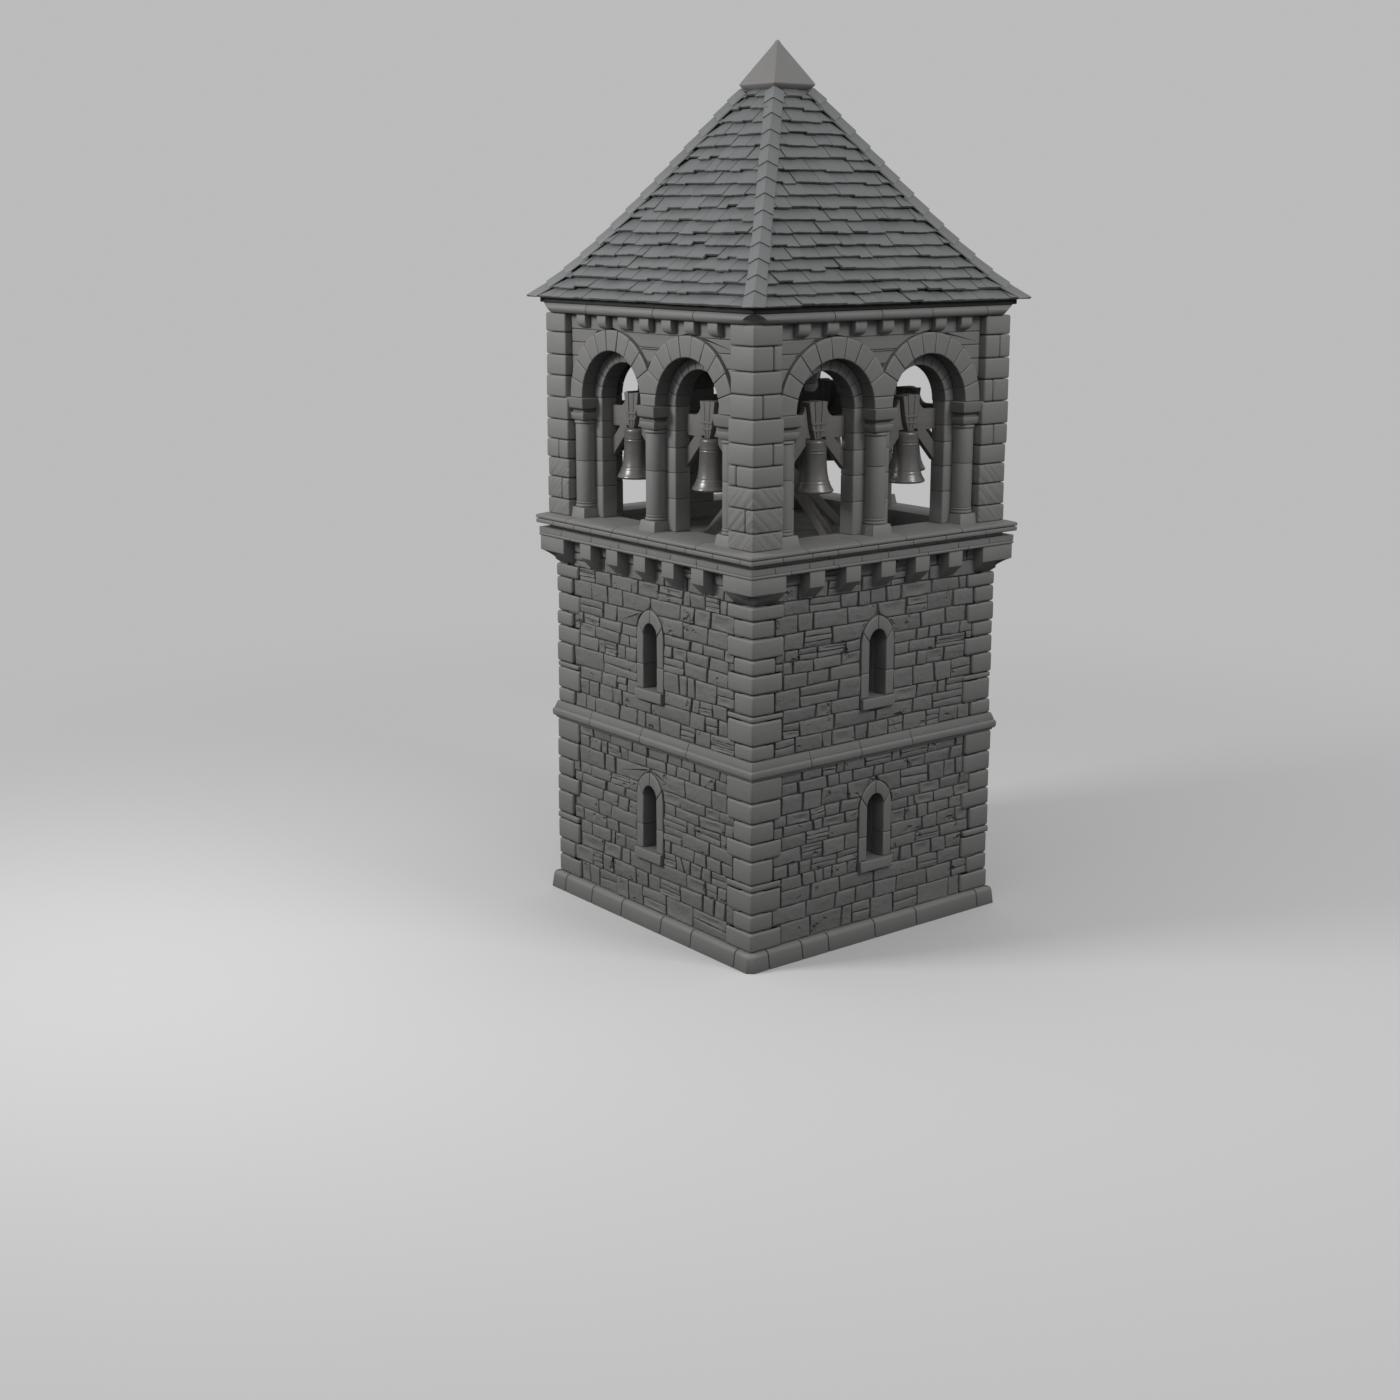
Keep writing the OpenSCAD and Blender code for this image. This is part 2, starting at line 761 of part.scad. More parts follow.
// Bells
// half width of a headstock so far over the swing axis: it tapers to a waist there, then to its foot
function stock_half(up) = stock_waist_w / 2 + (up < 0
    ? (stock_waist_w - stock_foot_w) / 2 * up / bell_drop
    : (stock_w - stock_waist_w) / 2 * up / stock_top);

// a bracket's edge beside the headstock
function beside_stock(z) = stock_half(z - z_axis) + stock_gap;

// one bracket, drawn in elevation from the headstock's side to the arch's jamb: an arm with a horn
// that rises beside the headstock, and a brace that passes outside the bell's shoulder
module bracket_shape() {
    z_under = z_axis - arm_down;
    z_over = z_axis + arm_up;
    z_horn = z_over + arm_fillet;
    z_crown = z_bell_top + crown_gap;
    z_foot = z_axis - brace_foot;
    v_bell = bell_shoulder_d / 2 + shoulder_gap;
    v_curve = beside_stock(z_horn) + horn_tip + arm_fillet;
    tall = brace_w * sqrt(1 + 1 / (brace_lean * brace_lean));
    polygon([[beside_stock(z_crown), z_crown], [v_bell, z_crown],
        [v_bell, z_foot + (inner_r - v_bell) / brace_lean], [inner_r, z_foot],
        [inner_r, z_foot + tall], [inner_r - (z_under - z_foot - tall) * brace_lean, z_under],
        [inner_r, z_under], [inner_r, z_over], [beside_stock(z_over), z_over],
        [beside_stock(z_axis), z_axis]]);
    difference() {
        polygon([[beside_stock(z_over), z_over], [v_curve, z_over], [v_curve, z_horn],
            [beside_stock(z_horn), z_horn]]);
        translate([v_curve, z_horn]) circle(arm_fillet);
    }
}

module brackets_side() {
    color("#756d63") for (s = [-1, 1], m = [0, 1]) translate([0, s * arch_c, 0])
        mirror([0, m, 0]) difference() {
            elevation(h_bell - bracket_t / 2, h_bell + bracket_t / 2) bracket_shape();
            translate([h_bell, 0, z_axis]) rotate([-90, 0, 0])
                cylinder(h = beside_stock(z_axis) + pin_len + pin_end_gap, d = pin_d + 2 * pin_clear);
        }
}

module front_brackets() { rotate(270) brackets_side(); }
module right_brackets() { brackets_side(); }
module back_brackets() { rotate(90) brackets_side(); }
module left_brackets() { rotate(180) brackets_side(); }

// bells are numbered round the tower, from the front's left one
module bell_place(n) {
    rotate(270 + 90 * floor((n - 1) / 2))
        translate([h_bell, (n % 2 == 1 ? -1 : 1) * arch_c, 0]) children();
}

// a bell's outer radius at a share t of the way from its shoulder to its mouth
function bell_r(t) = bell_shoulder_d / 2
    + (bell_d - bell_shoulder_d) / 2 * ((1 - late_flare) * t + late_flare * pow(t, flare_power));

module bell() {
    z0 = z_bell_top - bell_h;
    round_r = shoulder_round * bell_shoulder_d / 2;
    flare = bell_h - round_r;
    steps = 12;
    color("#7b7a74") translate([0, 0, z0]) rotate_extrude() difference() {
        union() {
            polygon(concat([[0, 0]], [for (i = [steps : -1 : 0])
                [bell_r(i / steps), flare * (1 - i / steps)]], [[0, flare]]));
            intersection() {
                translate([bell_shoulder_d / 2 - round_r, flare]) circle(round_r);
                band(0, bell_shoulder_d, flare, bell_h);
            }
            band(0, bell_shoulder_d / 2 - round_r, flare, bell_h);
        }
        polygon(concat([[0, -past], [bell_d / 2 - bell_lip, -past]], [for (i = [steps : -1 : 0])
            [bell_r(i / steps) - bell_wall - (bell_lip - bell_wall) * pow(i / steps, 6),
                flare * (1 - i / steps)]],
            [[bell_r(0) - bell_wall - hollow_round * round_r, bell_h - bell_wall],
                [0, bell_h - bell_wall]]));
    }
}

module bell_1() { bell_place(1) bell(); }
module bell_2() { bell_place(2) bell(); }
module bell_3() { bell_place(3) bell(); }
module bell_4() { bell_place(4) bell(); }
module bell_5() { bell_place(5) bell(); }
module bell_6() { bell_place(6) bell(); }
module bell_7() { bell_place(7) bell(); }
module bell_8() { bell_place(8) bell(); }

module headstock() {
    z_top = z_axis + stock_top;
    foot = stock_foot_w / 2;
    waist = stock_waist_w / 2;
    top = stock_w / 2;
    color("#756d63") {
        elevation(-stock_d / 2, stock_d / 2)
            polygon([[-foot, z_bell_top], [foot, z_bell_top], [waist, z_axis],
                [top, z_top], [-top, z_top], [-waist, z_axis]]);
        translate([0, 0, z_axis]) rotate([90, 0, 0])
            cylinder(h = 2 * (beside_stock(z_axis) + pin_len), d = pin_d, center = true);
    }
}

module headstock_1() { bell_place(1) headstock(); }
module headstock_2() { bell_place(2) headstock(); }
module headstock_3() { bell_place(3) headstock(); }
module headstock_4() { bell_place(4) headstock(); }
module headstock_5() { bell_place(5) headstock(); }
module headstock_6() { bell_place(6) headstock(); }
module headstock_7() { bell_place(7) headstock(); }
module headstock_8() { bell_place(8) headstock(); }

plinth();
front_wall();
right_wall();
back_wall();
left_wall();
corner_stones();
window_dressings();
string_course();
upper_floor();
corbels();
belfry_cornice();
belfry_floor();
corner_piers();
front_arcade();
right_arcade();
back_arcade();
left_arcade();
column_bases();
column_shafts();
column_capitals();
eaves_corbels();
eaves_cornice();
wall_plate();
roof();
hip_tiles();
roof_cap();
belfry_post();
raking_struts();
front_brackets();
right_brackets();
back_brackets();
left_brackets();
bell_1();
bell_2();
bell_3();
bell_4();
bell_5();
bell_6();
bell_7();
bell_8();
headstock_1();
headstock_2();
headstock_3();
headstock_4();
headstock_5();
headstock_6();
headstock_7();
headstock_8();
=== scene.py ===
import json
import math
import random
from itertools import pairwise

import bmesh
import bpy
import numpy as np
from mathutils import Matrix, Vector


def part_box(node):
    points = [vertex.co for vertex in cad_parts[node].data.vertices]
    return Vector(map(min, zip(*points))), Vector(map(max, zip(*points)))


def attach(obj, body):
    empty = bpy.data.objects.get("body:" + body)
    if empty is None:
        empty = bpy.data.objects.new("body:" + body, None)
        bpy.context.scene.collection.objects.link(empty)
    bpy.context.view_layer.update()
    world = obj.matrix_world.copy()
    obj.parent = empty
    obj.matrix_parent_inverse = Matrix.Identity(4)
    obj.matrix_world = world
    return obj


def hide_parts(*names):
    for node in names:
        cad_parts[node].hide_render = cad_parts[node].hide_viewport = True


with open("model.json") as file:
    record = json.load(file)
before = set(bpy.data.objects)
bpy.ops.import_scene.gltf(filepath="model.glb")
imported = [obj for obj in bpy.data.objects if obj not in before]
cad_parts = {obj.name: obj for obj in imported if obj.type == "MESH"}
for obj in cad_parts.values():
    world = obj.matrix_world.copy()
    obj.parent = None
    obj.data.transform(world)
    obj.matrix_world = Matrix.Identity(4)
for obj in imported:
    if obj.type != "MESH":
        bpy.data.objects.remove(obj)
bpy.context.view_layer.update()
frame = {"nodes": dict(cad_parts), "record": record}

# every side is drawn as the +X side and turned: h from the axis, u along the side, z up
sides = {"front": 270, "right": 0, "back": 90, "left": 180}


def reachOf(node):  # how far a node stands out from the axis
    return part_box(node)[1].x


def heightsOf(node):  # its foot and its top
    low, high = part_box(node)
    return low.z, high.z


# shader tools
class Value:
    def __init__(self, finish, socket):
        self.finish = finish
        self.socket = socket

    def calc(self, operation, a, b=0.0):
        return self.finish.add("ShaderNodeMath", {"operation": operation}, {0: a, 1: b})

    def __add__(self, other):
        return self.calc("ADD", self, other)

    def __sub__(self, other):
        return self.calc("SUBTRACT", self, other)

    def __rsub__(self, other):
        return self.calc("SUBTRACT", other, self)

    def __mul__(self, other):
        return self.calc("MULTIPLY", self, other)

    __radd__ = __add__
    __rmul__ = __mul__

    def kept(self):  # held between 0 and 1
        return self.finish.add("ShaderNodeClamp", {}, {"Value": self})


class Finish:
    def __init__(self, name):
        self.material = bpy.data.materials.new(name)
        self.material.use_nodes = True
        self.tree = self.material.node_tree
        self.tree.nodes.clear()
        self.shader = self.tree.nodes.new("ShaderNodeBsdfPrincipled")
        out = self.tree.nodes.new("ShaderNodeOutputMaterial")
        self.tree.links.new(self.shader.outputs["BSDF"], out.inputs["Surface"])

    def add(self, kind, settings, values, output=0):
        node = self.tree.nodes.new(kind)
        for key, setting in settings.items():
            setattr(node, key, setting)
        for key, value in values.items():
            self.feed(node.inputs[key], value)
        return Value(self, node.outputs[output])

    def feed(self, socket, value):
        if isinstance(value, Value):
            self.tree.links.new(value.socket, socket)
        else:
            socket.default_value = value

    def surface(self, **values):  # Base_Color stands for the socket Base Color
        for key, value in values.items():
            self.feed(self.shader.inputs[key.replace("_", " ")], value)
        return self.material

    def spot(self):
        return self.add("ShaderNodeTexCoord", {}, {}, "Object")

    def noise(self, where, scale, detail=4, roughness=0.55):
        return self.add("ShaderNodeTexNoise", {}, {"Vector": where, "Scale": scale,
                        "Detail": detail, "Roughness": roughness}, "Fac")

    def stretched(self, where, scales):
        return self.add("ShaderNodeVectorMath", {"operation": "MULTIPLY"}, {0: where, 1: scales})

    def blend(self, share, dark, light):
        return self.add("ShaderNodeMix", {"data_type": "RGBA"}, {"Factor": share, 6: dark, 7: light}, 2)

    def bump(self, height, strength, distance):
        return self.add("ShaderNodeBump", {}, {"Height": height, "Strength": strength,
                        "Distance": distance}, "Normal")

    def marks(self):  # tone of the stone; wear and a painted highlight on its edges; dirt and painted shade in its joints, hollows and undersides
        mark = self.add("ShaderNodeAttribute", {"attribute_name": "finish"}, {}, "Color")
        split = self.add("ShaderNodeSeparateColor", {}, {"Color": mark})
        outputs = split.socket.node.outputs
        return [Value(self, outputs[name]) for name in ("Red", "Green", "Blue")]


def grey(level, warmth=0.0):  # an sRGB level as a linear colour, a little warm or cool
    return (*(((c + 0.055) / 1.055) ** 2.4 for c in (level + warmth, level, level - warmth)), 1)


# line gives the way that a stone's fine marks run: chisel marks on tooled stone, the grain of slate
dressedLook = {"dark": grey(0.41, 0.004), "light": grey(0.58, 0.004), "rough": 0.55, "bump": 0.32,
               "deep": 0.012, "grain": 42, "patches": 0.5, "lumps": 1.0, "pits": 0,
               "line": None, "lineBump": 0, "patchy": False}
tooledLook = {**dressedLook, "rough": 0.6, "bump": 0.6, "lumps": 0.9, "line": (12, -12, -12), "lineBump": 4.2}
rubbleLook = {**dressedLook, "dark": grey(0.38, 0.004), "light": grey(0.55, 0.004), "rough": 0.62,
              "bump": 0.8, "grain": 34, "patches": 1.4, "lumps": 2.4, "pits": 6,
              "line": (1.5, 1.5, 12), "lineBump": 2.6, "patchy": True}
slateLook = {**dressedLook, "dark": grey(0.38, -0.004), "light": grey(0.55, -0.004), "rough": 0.5,
             "bump": 0.42, "grain": 30, "patches": 0.3, "lumps": 0.9, "lineBump": 0.8}


def stoneFinish(name, look):
    f = Finish(name)
    where = f.spot()
    tone, edge, dirtAndShade = f.marks()
    grain = f.noise(where, look["grain"], 6, 0.65)
    cloud = f.noise(where, 1.1, 3)
    stain = f.noise(f.stretched(where, (5, 5, 0.8)), 1.0, 4)
    # edges are lightened as wear and a painted highlight; the third mark darkens joints, hollows and
    # undersides as dirt and painted shade
    shade = 0.33 + tone * 0.18 + cloud * 0.14 + grain * 0.2 + edge * 0.16 - stain * 0.1 - dirtAndShade * 0.5
    lumps = f.noise(where, 7, 3)
    patches = (f.noise(where, 2.3, 2) * 5 - 2.5).kept()  # where the face is left rougher
    height = grain * 0.35 + lumps * look["lumps"] + patches * f.noise(where, 17, 5) * look["patches"]
    if look["pits"]:
        pits = ((f.noise(where, 3.1, 3) - 0.64) * 12).kept()  # gouged hollows
        height = height - pits * look["pits"]
        # the gouges are also painted darker, as shade in the hollows
        shade = shade - pits * 0.2
    if look["line"]:
        across = f.add("ShaderNodeVectorMath", {"operation": "DOT_PRODUCT"},
                       {0: where, 1: look["line"]}, "Value")
        marks = f.add("ShaderNodeTexNoise", {"noise_dimensions": "4D"},
                      {"Vector": where, "W": across, "Scale": 0.7, "Detail": 2}, "Fac") - 0.5
        if look["patchy"]:
            marks = marks * patches
        height = height + marks * look["lineBump"]
        shade = shade + marks * 0.16
    colour = f.blend(shade.kept(), look["dark"], look["light"])
    rough = look["rough"] + grain * 0.16 - edge * 0.1 + dirtAndShade * 0.2
    return f.surface(Base_Color=colour, Roughness=rough.kept(),
                     Normal=f.bump(height, look["bump"], look["deep"]))


mortarLook = {"dark": grey(0.25), "light": grey(0.38), "rough": 0.85, "inside": 2.78,
              "plainDark": grey(0.46), "plainLight": grey(0.58)}


def mortarFinish():
    f = Finish("lime_mortar")
    where = f.spot()
    sand = f.noise(where, 60, 5, 0.7)
    cloud = f.noise(where, 2.3, 4)
    shade = (sand * 0.5 + cloud * 0.5).kept()
    x, y = [f.add("ShaderNodeSeparateXYZ", {}, {"Vector": where}, axis) for axis in "XY"]
    reach = x.calc("MAXIMUM", x.calc("ABSOLUTE", x), y.calc("ABSOLUTE", y))
    inside = ((mortarLook["inside"] - reach) * 60).kept()  # the reveals and rooms are of plain stone
    colour = f.blend(inside, f.blend(shade, mortarLook["dark"], mortarLook["light"]),
                     f.blend(shade, mortarLook["plainDark"], mortarLook["plainLight"]))
    return f.surface(Base_Color=colour, Roughness=(mortarLook["rough"] + sand * 0.1).kept(),
                     Normal=f.bump(sand * 0.5 + cloud, 0.6, 0.01))


woodLooks = {
    "timber": {"dark": grey(0.45, 0.008), "light": grey(0.62, 0.008), "rough": 0.6},
    "frame": {"dark": grey(0.34, 0.008), "light": grey(0.50, 0.008), "rough": 0.55},
    # the wall plate's timber is painted dark, as the shade under the slates
    "plate": {"dark": grey(0.14, 0.004), "light": grey(0.24, 0.004), "rough": 0.7},
}
grainScales = {"x": (1.2, 22, 22), "y": (22, 1.2, 22), "z": (22, 22, 1.2)}


def woodFinish(name, look, axis):
    f = Finish(name + "_" + axis)
    where = f.spot()
    tone, edge, dirtAndShade = f.marks()
    fibre = f.noise(f.stretched(where, grainScales[axis]), 1.6, 6, 0.6)
    rings = f.noise(f.stretched(where, grainScales[axis]), 0.35, 3)
    cloud = f.noise(where, 2.0, 3)
    # edges are lightened as wear and a painted highlight; the third mark darkens hollows and undersides as
    # dirt and painted shade
    shade = fibre * 0.42 + rings * 0.3 + cloud * 0.2 + tone * 0.25 + edge * 0.18 - dirtAndShade * 0.3 - 0.06
    colour = f.blend(shade.kept(), look["dark"], look["light"])
    return f.surface(Base_Color=colour, Roughness=(look["rough"] + fibre * 0.2).kept(),
                     Normal=f.bump(fibre + rings * 0.6, 0.45, 0.006))


bellLook = {"dark": grey(0.37, 0.005), "light": grey(0.52, 0.006), "rough": 0.24, "metal": 0.35}


def bellFinish():
    f = Finish("bell_bronze")
    where = f.spot()
    tone, edge, dirtAndShade = f.marks()
    patina = f.noise(where, 5.5, 5, 0.6)
    runs = f.noise(f.stretched(where, (26, 26, 1.6)), 1.0, 4)
    # wires and lip are lighter as polish and a painted highlight; the inside is darker as painted shade
    shade = patina * 0.55 + runs * 0.25 + edge * 0.35 + tone * 0.2 - dirtAndShade * 0.35
    rough = bellLook["rough"] + patina * 0.16 + dirtAndShade * 0.2 - edge * 0.06
    colour = f.blend(shade.kept(), bellLook["dark"], bellLook["light"])
    return f.surface(Base_Color=colour, Metallic=bellLook["metal"], Roughness=rough.kept(),
                     Normal=f.bump(patina * 0.7 + runs * 0.3, 0.12, 0.004))


rubbleStone = stoneFinish("rubble_stone", rubbleLook)
dressedStone = stoneFinish("dressed_stone", dressedLook)
tooledStone = stoneFinish("tooled_stone", tooledLook)
roofSlate = {0: stoneFinish("roof_slate_x", {**slateLook, "line": (0, 15, 0)}),
             90: stoneFinish("roof_slate_y", {**slateLook, "line": (15, 0, 0)})}
mortar = mortarFinish()
timber = {axis: woodFinish("timber", woodLooks["timber"], axis) for axis in "xyz"}
frameTimber = {axis: woodFinish("bell_frame_timber", woodLooks["frame"], axis) for axis in "xyz"}
shadedPlateTimber = woodFinish("plate_timber", woodLooks["plate"], "x")
bellBronze = bellFinish()
print("finishes ready")


# mesh tools
class Heap:  # solids gathered into one mesh, with tone, edge wear with a painted highlight, and dirt with painted shade at each point
    def __init__(self):
        self.points = []
        self.faces = []
        self.finish = []

    def loft(self, turn, tone, rings):  # closed solid; each ring turns left seen from the last one
        base = len(self.points)
        count = len(rings[0][0])
        for points, edge, dirtAndShade in rings:
            self.points.extend(map(tuple, place(points, turn)))
            self.finish.extend([(tone, edge, dirtAndShade)] * count)
        for k in range(len(rings) - 1):
            first = base + k * count
            for i in range(count):
                j = (i + 1) % count
                self.faces.append((first + i, first + j, first + count + j, first + count + i))
        last = base + (len(rings) - 1) * count
        self.faces.append(tuple(base + i for i in reversed(range(count))))
        self.faces.append(tuple(last + i for i in range(count)))


def fresh(seed):
    return Heap(), random.Random(seed)


def showPiece(name, mesh, marks, materials, body, stands, smoothTo):
    colours = np.ones((len(marks), 4), np.float32)
    colours[:, :3] = marks
    layer = mesh.attributes.new("finish", "FLOAT_COLOR", "POINT")
    layer.data.foreach_set("color", colours.ravel())
    mesh.shade_smooth()
    mesh.set_sharp_from_angle(angle=math.radians(smoothTo))
    piece = bpy.data.objects.new(name, mesh)
    bpy.context.scene.collection.objects.link(piece)
    for material in materials:
        mesh.materials.append(material)
    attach(piece, body)
    if stands:
        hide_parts(*stands)
    print(name, len(mesh.polygons), "faces")


def makePiece(name, heap, material, body="tower", stands=(), smoothTo=50):
    mesh = bpy.data.meshes.new(name)
    mesh.from_pydata(heap.points, [], heap.faces)
    showPiece(name, mesh, heap.finish, [material], body, stands, smoothTo)


def dressedPiece(name, heap, node, smoothTo=50):
    makePiece(name, heap, dressedStone, stands=[node], smoothTo=smoothTo)


def place(points, turn):  # side coordinates (h, u, z) to the tower's own
    points = np.asarray(points, float)
    c = round(math.cos(math.radians(turn)))
    s = round(math.sin(math.radians(turn)))
    return np.column_stack((points[:, 0] * c - points[:, 1] * s,
                            points[:, 0] * s + points[:, 1] * c, points[:, 2]))


def upright(outline, h):  # an outline of (u, z) stood at h
    return np.column_stack((np.broadcast_to(h, len(outline)), outline))


def level(plan, z):  # a plan of (h, u) laid at z
    return np.column_stack((plan, np.full(len(plan), z)))


def across(section, u):  # a section of (h, z) set at u, to be swept along the side
    return np.column_stack((section[:, 0], np.broadcast_to(u, len(section)), section[:, 1]))[::-1]


def rectangle(a0, b0, a1, b1):
    return [(a0, b0), (a1, b0), (a1, b1), (a0, b1)]


def arc(a, b, r, start, end, count):
    return [(a + r * math.cos(t), b + r * math.sin(t)) for t in np.linspace(start, end, count)]


def mirrored(outline):
    return [(-u, z) for u, z in outline]


def orderedLeft(outline):  # the outline turning left
    p = np.asarray(outline, float)
    q = np.roll(p, -1, 0)
    area = (p[:, 0] * q[:, 1] - q[:, 0] * p[:, 1]).sum()
    return p if area > 0 else p[::-1]


def toneOf(rng, spread, middle=0.5):  # some stones are lighter, some darker
    return min(max(rng.gauss(middle, spread), 0), 1)


def inset(outline, distance):  # an outline that turns left, moved inwards
    outline = np.asarray(outline, float)

    def inward(edge):
        length = np.maximum(np.hypot(edge[:, 0], edge[:, 1]), 1e-9)
        return np.column_stack((-edge[:, 1], edge[:, 0])) / length[:, None]

    a = inward(outline - np.roll(outline, 1, 0))
    b = inward(np.roll(outline, -1, 0) - outline)
    lean = np.maximum(1 + (a * b).sum(1), 0.3)[:, None]
    return outline + distance * (a + b) / lean


def handCut(outline, step, wander, rng):  # more points along the edges, none quite in line
    outline = np.asarray(outline, float)
    cut = []
    for a, b in zip(outline, np.roll(outline, -1, 0)):
        parts = max(1, round(float(np.hypot(*(b - a))) / step))
        for k in range(parts):
            off = (rng.uniform(-wander, wander), rng.uniform(-wander, wander))
            cut.append(a + (b - a) * k / parts + off)
    return np.array(cut)


def eased(outline, radius, corners):  # the named corners rounded with four points each
    outline = [np.asarray(p, float) for p in outline]
    soft = []
    for i, p in enumerate(outline):
        if i not in corners:
            soft.append(p)
            continue
        back = outline[i - 1] - p
        on = outline[(i + 1) % len(outline)] - p
        back = back / np.hypot(*back) * radius
        on = on / np.hypot(*on) * radius
        soft.extend([p + back, p + back * 0.5 + on * 0.13, p + back * 0.13 + on * 0.5, p + on])
    return np.array(soft)


# rounded edges in steps: share of the rounding moved in, share moved on or kept back, wear and painted
# highlight, dirt and painted shade
stoneEdge = ((0, 1, 0.2, 0.8), (0.13, 0.5, 0.5, 0.4), (0.5, 0.13, 1, 0.1), (1, 0, 0.7, 0))
stoneCrown = ((2.4, -0.15, 0, 0),)  # the middle of the face stands a little proud
blockEdge = ((1, 0, 0.3, 0.9), (0.5, 0.13, 0.6, 0.5), (0.13, 0.5, 1, 0.15), (0, 1, 0.5, 0))
plankEdge = ((1, 0, 0.8, 0.1), (0.29, 0.29, 1, 0), (0, 1, 0.4, 0))
runEdge = ((1, 0, 0.2, 0.9), (0.29, 0.29, 0.8, 0.4), (0, 1, 0.3, 0))
# a broken face in steps: share of the way in, share of the depth, wear and painted highlight, dirt and
# painted shade
scoopSteps = ((0.3, 0.35, 0.3, 0), (0.55, 0.8, 0.1, 0.1), (0.8, 1, 0, 0.2))
scoopAside = (0.22, 0.15)  # how far off the middle it is deepest, as a share of the stone
# the most that a rounding takes of a face and of a block's height, spreads of tone, and for
# mouldings the joints, and shares of a length that the first and the last one may have
laying = {"faceShare": 0.15, "endShare": 0.3, "spread": 0.14, "runSpread": 0.05, "runGap": 0.008,
          "first": (0.5, 0.9), "last": 0.5}


def layStone(heap, turn, outline, inner, outer, rng, rounding, tilt, spread=0.12, scooped=0):
    outline = np.asarray(outline, float)
    size = np.ptp(outline, axis=0)
    rounding = min(rounding, laying["faceShare"] * size.min())
    middle = (outline.min(0) + outline.max(0)) / 2
    lean = np.array([rng.uniform(-tilt, tilt), rng.uniform(-tilt, tilt)]) * 2 / size
    tone = toneOf(rng, spread)
    rings = [(upright(outline, inner), 0, 1)]

    def addRing(flat, out, edge, dirtAndShade):
        depth = out + ((flat - middle) * lean).sum(1)
        rings.append((upright(flat, depth), edge, dirtAndShade))

    for moved, kept, edge, dirtAndShade in stoneEdge if scooped else stoneEdge + stoneCrown:
        flat = inset(outline, rounding * moved)
        addRing(flat, outer - rounding * kept, edge, dirtAndShade)
    if scooped:  # broken out to one side of the middle
        deepest = middle + size * [rng.uniform(-share, share) for share in scoopAside]
        for share, down, edge, dirtAndShade in scoopSteps:
            addRing(flat + (deepest - flat) * share, outer - scooped * down, edge, dirtAndShade)
    heap.loft(turn, tone, rings)


def layRounded(heap, turn, outline, low, high, tone, rounding, edges, stand):
    steps = [(moved, low + rounding * on, edge, dirtAndShade) for moved, on, edge, dirtAndShade in edges]
    steps += [(moved, high - rounding * on, edge, dirtAndShade) for moved, on, edge, dirtAndShade in edges[::-1]]
    heap.loft(turn, tone, [(stand(inset(outline, rounding * moved), at), edge, dirtAndShade)
                           for moved, at, edge, dirtAndShade in steps])


def layBlock(heap, turn, plan, foot, top, rng, rounding, spread=laying["spread"]):
    rounding = min(rounding, laying["endShare"] * (top - foot))
    layRounded(heap, turn, plan, foot, top, toneOf(rng, spread), rounding, blockEdge, level)


def layPlank(heap, turn, outline, inner, outer, rng, rounding):
    tone = toneOf(rng, laying["spread"])
    layRounded(heap, turn, outline, inner, outer, tone, rounding, plankEdge, upright)


def roundedEnd(section, u, rounding, way=1):
    return [(across(inset(section, rounding * moved), u + way * rounding * on), edge, dirtAndShade)
            for moved, on, edge, dirtAndShade in runEdge]


def layRun(heap, turn, section, stops, rng, rounding=0.0, gap=laying["runGap"], diagonal=None):
    # a moulding in lengths between the stops with open joints, mitred where it meets the next side,
    # or cut there to the reach along the diagonal that is left at each point of the section
    section = np.asarray(section, float)
    full = section[:, 0] * math.sqrt(2)
    diagonal = full if diagonal is None else np.minimum(full, diagonal)
    for first, last in pairwise(stops):
        rings = []
        for stop, way in ((first, 1), (last, -1)):
            if stop is None:
                mitre = np.column_stack((diagonal / math.sqrt(2), section[:, 1]))
                start = np.minimum(math.sqrt(2) * diagonal - section[:, 0], section[:, 0])
                part = [(across(mitre, mitre[:, 0] * -way), 0, 0), (across(section, start * -way), 0, 0)]
            else:
                part = roundedEnd(section, stop + way * gap / 2, rounding, way)
            rings += part[::way]
        heap.loft(turn, toneOf(rng, laying["runSpread"]), rings)


def stopsAlong(half, shortest, longest, rng):  # None stands for the mitred corners
    stops = [None]
    u = -half + rng.uniform(*laying["first"]) * longest
    while u < half - laying["last"] * shortest:
        stops.append(u)
        u += rng.uniform(shortest, longest)
    return stops + [None]


# degrees: edges under flat are dissolved, those over sharp are eased
softening = {"weld": 2e-5, "flat": 1.5, "sharp": 32, "smoothTo": 40}


